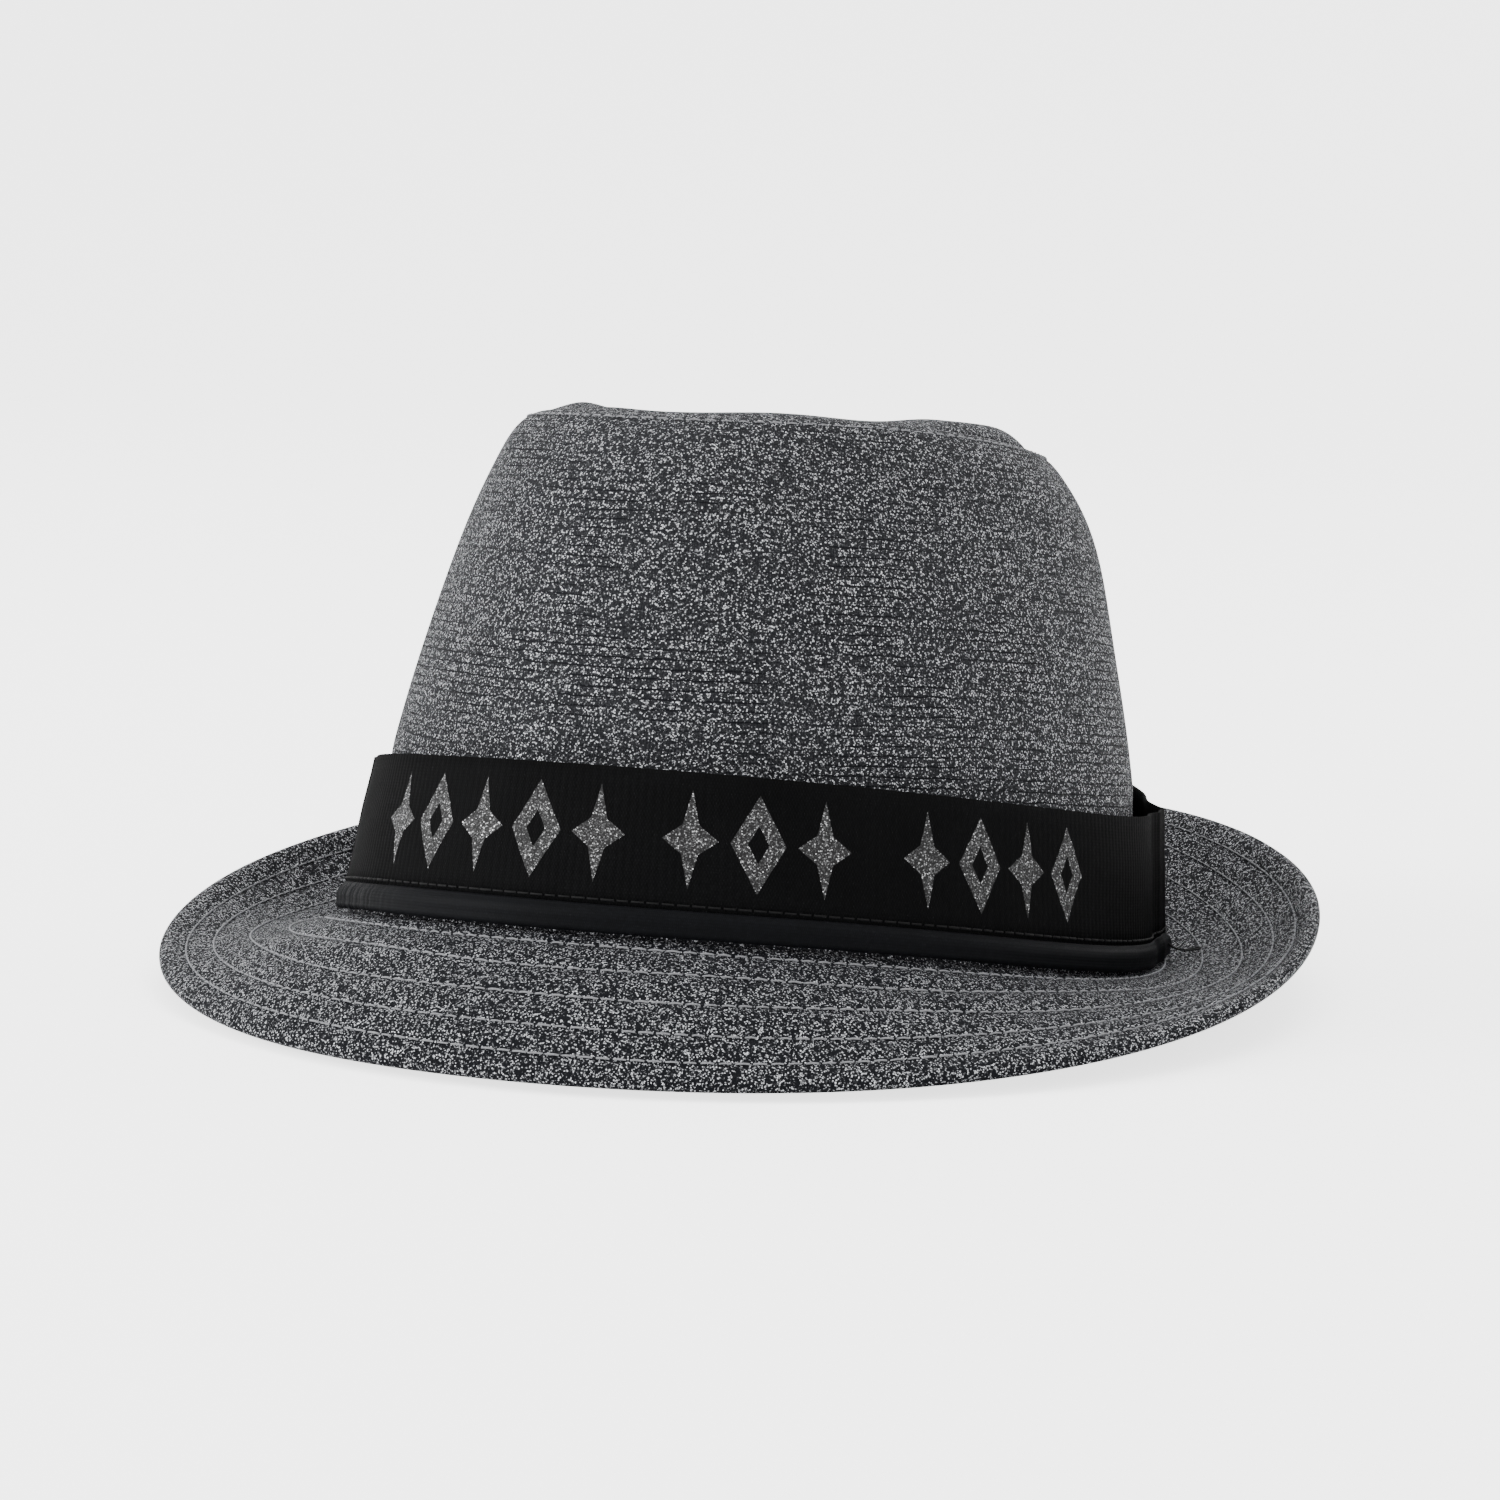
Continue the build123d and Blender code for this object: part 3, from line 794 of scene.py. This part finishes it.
# %% The stitch row tree
def stitch_tree():
    """Walks a guide line and sets one small arc of thread at every pitch."""
    bench, i, o = open_group("stitch row", {
        "Guide": ("NodeSocketGeometry", None), "Pitch": (FLOAT, 0.0033),
        "Length": (FLOAT, 0.0027), "Thread": (FLOAT, 0.0005), "Bow": (FLOAT, 0.0003),
        "Seed": ("NodeSocketInt", 1), "Finish": ("NodeSocketMaterial", None)},
        {"Stitches": "NodeSocketGeometry"}, "GeometryNodeTree")
    line = bench.add("GeometryNodeMeshToCurve", ("Mesh", i["Guide"])).outputs[0]
    places = bench.add("GeometryNodeCurveToPoints", ("Curve", line), ("Length", i["Pitch"]),
                       mode="LENGTH")
    normal = bench.add("GeometryNodeInputNamedAttribute", ("Name", "cloth_normal"),
                       data_type="FLOAT_VECTOR").outputs[0]
    along = bench.add("FunctionNodeAlignRotationToVector", ("Vector", places.outputs["Tangent"]),
                      axis="X")
    upright = bench.add("FunctionNodeAlignRotationToVector", ("Rotation", along.outputs[0]),
                        ("Vector", normal), axis="Z", pivot_axis="X")
    half = bench.math("MULTIPLY", i["Length"], 0.5)
    back = bench.math("MULTIPLY", half, -1.0)
    ends = [bench.add("ShaderNodeCombineXYZ", (0, x), (2, z)).outputs[0]
            for x, z in ((back, 0.0), (0.0, bench.math("MULTIPLY", i["Bow"], 2.0)), (half, 0.0))]
    arc = bench.add("GeometryNodeCurveQuadraticBezier", ("Resolution", 5), ("Start", ends[0]),
                    ("Middle", ends[1]), ("End", ends[2])).outputs[0]
    round_thread = bench.add("GeometryNodeCurvePrimitiveCircle", ("Resolution", 6),
                             ("Radius", bench.math("MULTIPLY", i["Thread"], 0.5))).outputs[0]
    stitch = bench.add("GeometryNodeCurveToMesh", ("Curve", arc), ("Profile Curve", round_thread),
                       ("Fill Caps", True)).outputs[0]
    vary = bench.add("FunctionNodeRandomValue", (2, 0.86), (3, 1.1), ("Seed", i["Seed"]),
                     data_type="FLOAT").outputs[1]
    sewn = bench.add("GeometryNodeInstanceOnPoints", ("Points", places.outputs["Points"]),
                     ("Instance", stitch), ("Rotation", upright.outputs[0]), ("Scale", vary))
    real = bench.add("GeometryNodeRealizeInstances", (0, sewn.outputs[0])).outputs[0]
    smooth = bench.add("GeometryNodeSetShadeSmooth", ("Geometry", real)).outputs[0]
    bench.feed(o["Stitches"], bench.add("GeometryNodeSetMaterial", ("Geometry", smooth),
                                        ("Material", i["Finish"])).outputs[0])
    return bench.tree


STITCHES = stitch_tree()


def sew(name, line, normals, material, body, *nodes, pitch=3.3, length=2.5, thread=0.42,
        bow=0.22, seed=1):
    """Sew a row of stitches along a closed line of hat-frame points."""
    count = len(line)
    guide = bpy.data.meshes.new(name + "_guide")
    guide.from_pydata([tuple(p) for p in stand(line)],
                      [(i, (i + 1) % count) for i in range(count)], [])
    turned = stand(line + normals) - stand(line)
    turned /= np.linalg.norm(turned, axis=-1, keepdims=True)
    guide.attributes.new("cloth_normal", "FLOAT_VECTOR", "POINT").data.foreach_set(
        "vector", turned.astype(np.float32).ravel())
    holder = bpy.data.objects.new(name + "_guide", guide)
    bpy.context.scene.collection.objects.link(holder)
    modifier = holder.modifiers.new("sew", "NODES")
    modifier.node_group = STITCHES
    values = {"Pitch": pitch / 1000, "Length": length / 1000, "Thread": thread / 1000,
              "Bow": bow / 1000, "Seed": seed, "Finish": material}
    for item in STITCHES.interface.items_tree:
        if item.in_out == "INPUT" and item.name in values:
            modifier[item.identifier] = values[item.name]
    plain = bpy.data.meshes.new_from_object(
        holder.evaluated_get(bpy.context.evaluated_depsgraph_get()))
    bpy.data.objects.remove(holder)
    plain.name = name
    row = bpy.data.objects.new(name, plain)
    bpy.context.scene.collection.objects.link(row)
    return dress(row, material, body, *nodes)


# %% Sew the brim and the tip seam
around = np.linspace(0, 2 * pi, 500, endpoint=False)
ROW_WAVER, ROW_PROUD = 0.16, 0.10
TIP_SEAM_V, TIP_SEAM_PROUD = 1 - 0.95 / 20, 0.08
sewn_faces = 0
for count, s in enumerate(STITCH_ROWS, 1):
    waver = s + ripple(around, 0, ROW_WAVER, seed=30 + count)
    base = brim_point(around, waver, brim_waver(around, waver) + ROW_PROUD)
    above = brim_point(around, waver, brim_waver(around, waver) + ROW_PROUD + 1)
    row = sew(f"brim_topstitch_{count}", base, above - base, grey_thread, HAT,
              f"brim_stitch_row_{count}", seed=count)
    sewn_faces += len(row.data.polygons)
seam_v = np.full_like(around, TIP_SEAM_V)
seam = wall_point(around, seam_v, np.full_like(around, -TIP_SEAM_PROUD))
seam_out = wall_point(around, seam_v, np.full_like(around, -TIP_SEAM_PROUD - 1))
sew("tip_topstitch", seam, seam_out - seam, grey_thread, HAT, "crown_tip_topstitch",
    length=2.2, thread=0.34, seed=9)
print("brim stitches:", sewn_faces, "faces")

# %% [markdown]
# ## Sweatband
# A doubled tape is sewn round the inside of the opening, where it touches
# the forehead.  It could share the lining's mesh, but the real one is a
# separate, thicker tape with a folded upper edge, so it has its own ring.

# %% Sweatband
SWEAT_TALL, SWEAT_THICK, SWEAT_FOLD = 32.0, 1.0, 0.35
SWEAT_SEAM, SEAM_PROUD = 2.2, 0.08
inside = KNIT + STIFF + LINING + 6 * GAP


def sweat_ring(depth, swell=0.0):
    """One side of the tape; swell thickens its folded upper edge."""
    phi, t = grid(26, 260)
    z = -WALL_DROP + (SWEAT_TALL + WALL_DROP) * t
    fold = swell * np.exp(-((1 - t) / 0.06) ** 2)
    return wall_point(phi, wall_height(phi, z), depth + fold)


sweatband = ring_cloth("sweatband_tape", sweat_ring(inside),
                       sweat_ring(inside + SWEAT_THICK, SWEAT_FOLD))
dress(sweatband, sweat_cloth, HAT, "sweatband")
low_line = wall_height(around, -WALL_DROP + SWEAT_SEAM)
on_tape = np.full_like(around, inside + SWEAT_THICK + SEAM_PROUD)
tape_face = wall_point(around, low_line, on_tape)
tape_out = wall_point(around, low_line, on_tape + 1)
sew("sweatband_stitching", tape_face, tape_out - tape_face, grey_thread, HAT,
    "sweatband_stitch", pitch=3.6, length=2.9, seed=14)
print("sweatband is", round(sweatband.dimensions.x * 1000), "mm wide over all")

# %% [markdown]
# ## Ribbon loop
# The band is a loop of grosgrain that was pressed flat in its packet, so it
# stands away from the crown at both ends and shows a crease there.  Its ribs
# run across the tape.  A bump map would do from far away; here each rib is
# geometry, because the ribs show along the edges and in the side light.

# %% Ribbon loop
RIB, RIB_TALL = 1.65, 0.08
FOLD_OUT, FOLD_WIDE = 0.7, 3.4
FACET_AT, FACET_WIDE = 9.0, 3.0
HOLLOWS, HOLLOW_AT, HOLLOW_WIDE = (0.0, 1.3), (15.0, -12.0), 7.0
TAPE_RIPPLE, EDGE_WAVE = 0.16, 0.12
TUCKED = 0.35


def band_point(phi, z, out):
    """z above the foot of the band, out from the ribbon's back face."""
    s = np.sin(phi - radians(BAND_TURN))
    crease = np.abs(s) ** 8
    gap_end = np.where(s < 0, BAND_GAPS[1], BAND_GAPS[2])
    lean_end = np.where(s < 0, BAND_LEANS[1], BAND_LEANS[2])
    gap = BAND_GAPS[0] + (gap_end - BAND_GAPS[0]) * crease
    lean = BAND_LEANS[0] + (lean_end - BAND_LEANS[0]) * s * s
    rise = BAND_LIFT + REAR_RISE * ((1 - np.cos(phi)) / 2) ** 4
    reach = gap + out - lean * z
    x, y, base = junction(phi)
    nx, ny = outward(phi)
    return np.stack(np.broadcast_arrays(x + nx * reach, y + ny * reach, base + rise + z), -1)


fine = np.linspace(0, 2 * pi, 7201)
tape = band_point(fine, 19.0, RIBBON_THICK)
tape_run = np.concatenate([[0], np.cumsum(np.linalg.norm(np.diff(tape, axis=0), axis=1))])
TAPE_LONG = tape_run[-1]


def turn_at(run):
    """The angle round the hat after run millimetres along the tape."""
    return np.interp(np.mod(run, TAPE_LONG), tape_run, fine)


def run_at(turn):
    """How far along the tape an angle round the hat is."""
    return np.interp(np.mod(turn, 2 * pi), fine, tape_run)


def apart(run, place):
    """Signed distance along the loop from a place on it."""
    return np.mod(run - place + TAPE_LONG / 2, TAPE_LONG) - TAPE_LONG / 2


creases = [run_at(radians(BAND_TURN + side)) for side in (-90, 90)]
ribs = int(round(TAPE_LONG / RIB))


def rib_height(run):
    """The ribs of the grosgrain, a whole number of them round the loop."""
    return RIB_TALL * np.abs(np.sin(pi * ribs * run / TAPE_LONG))


def press(run, z):
    """The folds pressed into the loop: a sharp edge, a facet beside it, hollows around."""
    total = 0.0
    for place, toward, hollow in zip(creases, (1, -1), HOLLOWS):
        off = apart(run, place)
        edge = (FOLD_OUT + 0.5 * hollow) * np.exp(-np.sqrt(off ** 2 + 0.2) / FOLD_WIDE)
        facet = np.exp(-np.sqrt((off - toward * FACET_AT) ** 2 + 0.2) / FACET_WIDE)
        drawn_in = hollow * sum(np.exp(-((off - toward * at) / HOLLOW_WIDE) ** 2)
                                for at in HOLLOW_AT)
        total = total + edge + facet * (0.5 + 0.5 * z / RIBBON_TALL) - drawn_in
    return total


def on_tape_skin(run, z, out, rib_side):
    """A point of the soft tape: rib_side scales how far the ribs stand off it."""
    phi = turn_at(run)
    t = (z - ROLL_TALL + TUCKED) / (RIBBON_TALL + TUCKED)
    soft = ripple(phi, 2 * t, TAPE_RIPPLE, seed=12) * np.clip(t * 3, 0, 1)
    wave = EDGE_WAVE * np.sin(5 * phi + 1) * t
    return band_point(phi, z + wave, out + rib_side * rib_height(run) + soft + press(run, z))


def ribbon_grid(out, rib_side):
    """One side of the ribbon from its tucked foot to its upper edge."""
    run = np.linspace(0, TAPE_LONG, ribs * 8, endpoint=False)[None, :]
    z = ROLL_TALL - TUCKED + (RIBBON_TALL + TUCKED) * np.linspace(0, 1, 9)[:, None]
    return on_tape_skin(run, z, out, rib_side)


ribbon = ring_cloth("ribbon_loop", ribbon_grid(RIBBON_THICK, 1), ribbon_grid(0.0, -0.5))
dress(ribbon, grosgrain, BAND, "hatband_ribbon")
print("ribbon loop", round(TAPE_LONG), "mm long with", ribs, "ribs")

# %% [markdown]
# ## Satin roll and its cord
# Along the foot of the ribbon a strip of satin is folded round a soft cord
# and sewn down, which leaves two thin grooves.  A plain torus would miss the
# grooves and the small gathers at the join, so the roll's section is bent by
# the same path and the gathers fade away from the place where it was joined.


# %% Roll and cord
def tube_cloth(name, grids, uv_wide):
    """Closed tubes round the hat; the second one, if any, is the inner face."""
    verts, faces, uvs = [], [], []
    for count, points in enumerate(grids):
        rows, columns = points.shape[:2]
        n = sum(len(v) for v in verts)
        i, j = np.meshgrid(np.arange(rows), np.arange(columns), indexing="ij")
        k, m = (j + 1) % columns, (i + 1) % rows
        quad = np.stack([i * columns + j, i * columns + k, m * columns + k, m * columns + j],
                        -1).reshape(-1, 4) + n
        faces.append(quad if count == 0 else quad[:, ::-1])
        verts.append(points.reshape(-1, 3))
        u = np.arange(columns) * uv_wide[0] / columns
        v = np.abs(np.linspace(-1, 1, rows, endpoint=False)) * uv_wide[1] / 2
        uvs.append(np.stack(np.meshgrid(u, v), -1).reshape(-1, 2))
    obj = new_mesh(name, stand(np.concatenate(verts)), np.concatenate(faces).tolist(),
                   np.concatenate(uvs) / 1000)
    set_wrapped_uv(obj, columns, uv_wide[0] / 1000)
    return face_outward(obj)


ROLL_SKIN, ROLL_OUT = 0.4, RIBBON_THICK / 2 + 0.25
CORD_ROOM, CORD_TWIST, TWIST_LONG = 0.3, 0.1, 7.0
GROOVES, GROOVE_DEEP, GROOVE_WIDE = (0.95, -0.35), 0.28, 0.16
GATHERS_REACH, ROLL_RIPPLE = 26.0, 0.05
ROLL_AROUND, CORD_AROUND = 13.5, 10.0
JOIN = run_at(radians(BAND_TURN - 76))


def roll_grid(tall, thick, columns, dressed=False, twist=0.0):
    """A tube along the band's foot; dressed adds grooves and gathers, twist adds strands."""
    run = np.linspace(0, TAPE_LONG, columns, endpoint=False)[None, :]
    phi = turn_at(run)
    turn = np.linspace(-pi, pi, 28, endpoint=False)[:, None]
    swell = 0.0
    if dressed:
        for groove in GROOVES:
            swell = swell - GROOVE_DEEP * np.exp(-((turn - groove) / GROOVE_WIDE) ** 2)
        off = apart(run, JOIN)
        gathers = np.exp(-(off / GATHERS_REACH) ** 2) * (
            0.17 * np.sin(off * 1.9 + np.sin(off * 0.7) * 2) + 0.10 * np.sin(off * 3.7 + 1))
        swell = swell + gathers * np.cos(turn / 2) ** 2
        swell = swell + ripple(phi, turn * 0.5, ROLL_RIPPLE, seed=17)
    if twist:
        strands = 6 * turn + run * 2 * pi / TWIST_LONG
        swell = swell + twist * np.cos(strands)
    z = ROLL_TALL / 2 + (tall + swell) * np.sin(turn)
    out = ROLL_OUT + (thick + swell) * np.cos(turn)
    follow = press(run, 0) * np.clip(out / 1.5, 0.3, 1)
    return band_point(phi, z, out + follow)


half_tall, half_thick = ROLL_TALL / 2, ROLL_THICK / 2
roll = tube_cloth("satin_roll", [roll_grid(half_tall, half_thick, 1100, dressed=True),
                                 roll_grid(half_tall - ROLL_SKIN, half_thick - ROLL_SKIN, 1100)],
                  (TAPE_LONG, ROLL_AROUND))
dress(roll, satin, BAND, "hatband_roll_cover")
cord_in = ROLL_SKIN + CORD_ROOM
cord = tube_cloth("cord_in_roll", [roll_grid(half_tall - cord_in, half_thick - cord_in, 900,
                                             twist=CORD_TWIST)],
                  (TAPE_LONG, CORD_AROUND))
dress(cord, cotton, BAND, "hatband_piping_cord")
print("roll", ROLL_TALL, "mm tall, join at", round(JOIN), "mm")


# %% [markdown]
# ## Stitching and print on the ribbon
# Black thread joins ribbon and roll, and a loose end is left at the join.
# The print is ground foil in ink, a skin a few hundredths of a millimetre
# proud.  A flat decal would float off the ribs, so each motif is laid out in
# narrow strips on the ribbon's own surface: sparkles and lozenges by turns.

# %% Ribbon stitching
BAND_SEAM, BAND_SEAM_PROUD, PRINT_PROUD = 0.85, 0.05, 0.06
line = np.linspace(0, TAPE_LONG, 700, endpoint=False)
foot_line = np.full_like(line, ROLL_TALL + GAP + BAND_SEAM)


def on_ribbon(run, z, proud):
    """A point on the face of the ribbon, ribs and folds included."""
    return on_tape_skin(run, z, RIBBON_THICK + proud, 1)


seam_on = on_ribbon(line, foot_line, BAND_SEAM_PROUD)
seam_off = on_ribbon(line, foot_line, BAND_SEAM_PROUD + 1)
band_stitches = sew("ribbon_stitching", seam_on, seam_off - seam_on, black_thread, BAND,
                    "hatband_topstitch", pitch=3.0, length=2.5, thread=0.45, seed=23)

# %% Printed motifs
MOTIF_TALL, MOTIF_WIDE, MOTIF_FOOT, MOTIF_STEP = 19.0, 11.0, 4.0, 13.3
MOTIF_GROUPS = ((-80.0, 5), (-8.5, 3), (40.5, 4))
SPARKLE_WAIST, LOZENGE_HOLE = 0.42, 0.38
MOTIF_ROWS, MOTIF_ACROSS = 48, 6


def sparkle_edges(level):
    """Inner and outer half width of the sparkle at a level from -1 to 1."""
    corner = SPARKLE_WAIST * sin(pi / 4)
    up = abs(level)
    if up > corner:
        return 0.0, corner * (1 - up) / (1 - corner)
    return 0.0, corner + (1 - corner) * (1 - up / corner)


def lozenge_edges(level):
    """The same for a lozenge with a lozenge-shaped hole."""
    up = abs(level)
    return max(LOZENGE_HOLE - up, 0.0), 1 - up


def motif_strips(verts, faces, middle_run, edges):
    """Add both halves of one motif, as places along the tape and up it."""
    centre = ROLL_TALL + GAP + MOTIF_FOOT + MOTIF_TALL / 2
    for side in (-1, 1):
        start = len(verts)
        for r in range(MOTIF_ROWS + 1):
            level = 2 * r / MOTIF_ROWS - 1
            near, far = edges(level * 0.999)
            for c in range(MOTIF_ACROSS + 1):
                across = side * (near + (far - near) * c / MOTIF_ACROSS) * MOTIF_WIDE / 2
                verts.append((middle_run + across, centre + level * MOTIF_TALL / 2))
        for r in range(MOTIF_ROWS):
            for c in range(MOTIF_ACROSS):
                a = start + r * (MOTIF_ACROSS + 1) + c
                quad = (a, a + 1, a + MOTIF_ACROSS + 2, a + MOTIF_ACROSS + 1)
                faces.append(quad if side > 0 else quad[::-1])


flat_verts, motif_faces = [], []
zero = run_at(radians(BAND_TURN))
for first, count in MOTIF_GROUPS:
    for k in range(count):
        motif_strips(flat_verts, motif_faces, zero + first + k * MOTIF_STEP,
                     sparkle_edges if k % 2 == 0 else lozenge_edges)
flat_verts = np.array(flat_verts)
motif_skin = on_ribbon(flat_verts[:, 0], flat_verts[:, 1], PRINT_PROUD)
glitter = new_mesh("glitter_motifs", stand(motif_skin), motif_faces, flat_verts / 1000)
dress(glitter, glitter_print, BAND, "hatband_print")
print("print:", sum(c for _, c in MOTIF_GROUPS), "motifs,", len(motif_faces), "faces")

# %% [markdown]
# ## Loose thread end
# The last stitch of the roll leaves a short curl of thread.  A curve with a
# round bevel is the quick way to make it; it is turned into a mesh so that
# it exports like every other piece.

# %% Loose thread
THREAD_RADIUS, THREAD_BEFORE = 0.00022, 4.0
THREAD_END = ((0.0, 3.5, 1.9), (1.2, 2.2, 3.4), (2.0, 1.9, 5.6), (4.8, 2.2, 8.4),
              (3.0, 2.6, 9.6), (0.5, 2.3, 7.8), (-0.8, 2.1, 5.6))


def loose_thread(name, at, radius):
    """Points are (along the tape, above the band's foot, out) in millimetres."""
    curve = bpy.data.curves.new(name, "CURVE")
    curve.dimensions = "3D"
    spline = curve.splines.new("NURBS")
    spline.points.add(len(THREAD_END) - 1)
    for point, (along, z, out) in zip(spline.points, THREAD_END):
        place = stand(band_point(turn_at(np.array(at + along)), z, out))
        point.co = (*place, 1.0)
    spline.order_u = 3
    spline.use_endpoint_u = True
    spline.resolution_u = 10
    curve.bevel_depth = radius
    curve.bevel_resolution = 2
    curve.use_fill_caps = True
    holder = bpy.data.objects.new(name, curve)
    bpy.context.scene.collection.objects.link(holder)
    mesh = bpy.data.meshes.new_from_object(
        holder.evaluated_get(bpy.context.evaluated_depsgraph_get()))
    bpy.data.objects.remove(holder)
    obj = bpy.data.objects.new(name, mesh)
    bpy.context.scene.collection.objects.link(obj)
    return obj


loose_end = loose_thread("loose_thread_end", creases[1] - THREAD_BEFORE, THREAD_RADIUS)
dress(loose_end, black_thread, BAND)
print("loose thread end at", round(creases[1]), "mm round the tape")

# %% [markdown]
# ## Studio
# A pale sweep, a large soft light on the left, a weaker one on the right, one
# overhead and a bright surround give the even product light that shows knit.
# Hard light would pick out single loops and lose the folds of the ribbon.
# The camera stands almost level with the hat and a little to its left.

# %% Camera
CAMERA_TURN, CAMERA_RISE, CAMERA_ROLL, CAMERA_FAR = 21.0, 1.597, 3.18, 992.458
LENS, SHIFT_X, SHIFT_Y = 111.4, -0.0092, -0.0246
AIM = np.array([0.0, 0.0, 45.0])
a, e, r = radians(CAMERA_TURN), radians(CAMERA_RISE), radians(CAMERA_ROLL)
back = np.array([sin(a) * cos(e), -cos(a) * cos(e), sin(e)])
right = np.array([cos(a), sin(a), 0.0])
up = np.cross(back, right)
across = right * cos(r) + up * sin(r)
upward = up * cos(r) - right * sin(r)
eye = AIM + CAMERA_FAR * back
corners = stand(np.array([eye, eye + across * 1000, eye + upward * 1000, eye + back * 1000]))
axes = corners[1:] - corners[0]
camera = bpy.data.objects.new("camera", bpy.data.cameras.new("camera"))
bpy.context.scene.collection.objects.link(camera)
camera.matrix_world = (Matrix.Translation(Vector(corners[0]))
                       @ Matrix(np.transpose(axes).tolist()).to_4x4())
camera.data.lens = LENS
camera.data.shift_x = SHIFT_X
camera.data.shift_y = SHIFT_Y
camera.data.clip_start, camera.data.clip_end = 0.05, 30.0
bpy.context.scene.camera = camera
print("camera", [round(float(c), 3) for c in corners[0]])

# %% Floor and lights
SWEEP_FROM, SWEEP_ROUND, SWEEP_TOP, SWEEP_NEAR, SWEEP_HALF = 1.6, 2.2, 7.0, -5.0, 6
PAPER_GLOW, PAPER_GLOW_SEEN = 0.35, 1.9
SKY, SKY_SEEN = 1.4, 3.2
profile = [(SWEEP_NEAR, 0.0), (SWEEP_FROM, 0.0)]
profile += [(SWEEP_FROM + SWEEP_ROUND * sin(t), SWEEP_ROUND * (1 - cos(t)))
            for t in np.linspace(0, pi / 2, 25)[1:]]
profile += [(SWEEP_FROM + SWEEP_ROUND, SWEEP_TOP)]
floor_mesh = bpy.data.meshes.new("floor")
floor_mesh.from_pydata([(x, y, z) for y, z in profile for x in (-SWEEP_HALF, SWEEP_HALF)], [],
                       [(2 * i, 2 * i + 1, 2 * i + 3, 2 * i + 2) for i in range(len(profile) - 1)])
floor_mesh.shade_smooth()
floor = bpy.data.objects.new("floor", floor_mesh)
bpy.context.scene.collection.objects.link(floor)
paper, bench, shader = open_material("studio_paper", 0.9, specular=0.1)
grain = bench.noise(bench.add("ShaderNodeTexCoord").outputs["Object"], 3.0)
bench.feed(shader["Base Color"], bench.blend(grain, (0.9, 0.9, 0.9, 1), (0.93, 0.93, 0.93, 1)))
shader["Emission Color"].default_value = (1, 1, 1, 1)
looked_at = bench.add("ShaderNodeLightPath").outputs["Is Camera Ray"]
bench.feed(shader["Emission Strength"], bench.scaled(looked_at, PAPER_GLOW_SEEN, PAPER_GLOW))
floor_mesh.materials.append(paper)


def soft_light(name, place, size, power):
    """An area light that faces the middle of the hat."""
    lamp = bpy.data.lights.new(name, "AREA")
    lamp.shape = "RECTANGLE"
    lamp.size, lamp.size_y = size
    lamp.energy = power
    obj = bpy.data.objects.new(name, lamp)
    obj.location = place
    obj.rotation_mode = "QUATERNION"
    obj.rotation_quaternion = (Vector((0, 0, 0.06)) - Vector(place)).to_track_quat("-Z", "Y")
    bpy.context.scene.collection.objects.link(obj)


soft_light("key", (-1.7, -1.0, 0.8), (1.1, 1.1), 56)
soft_light("fill", (1.5, -1.2, 0.7), (0.9, 1.2), 6)
soft_light("top", (0.1, 0.5, 1.9), (1.6, 1.2), 24)
world = bpy.data.worlds.new("surround")
bpy.context.scene.world = world
world.use_nodes = True
surround = Bench(world.node_tree)
seen = surround.add("ShaderNodeLightPath").outputs["Is Camera Ray"]
sky = world.node_tree.nodes["Background"].inputs
sky["Color"].default_value = (1, 1, 1, 1)
surround.feed(sky["Strength"], surround.scaled(seen, SKY_SEEN, SKY))
print("studio ready")
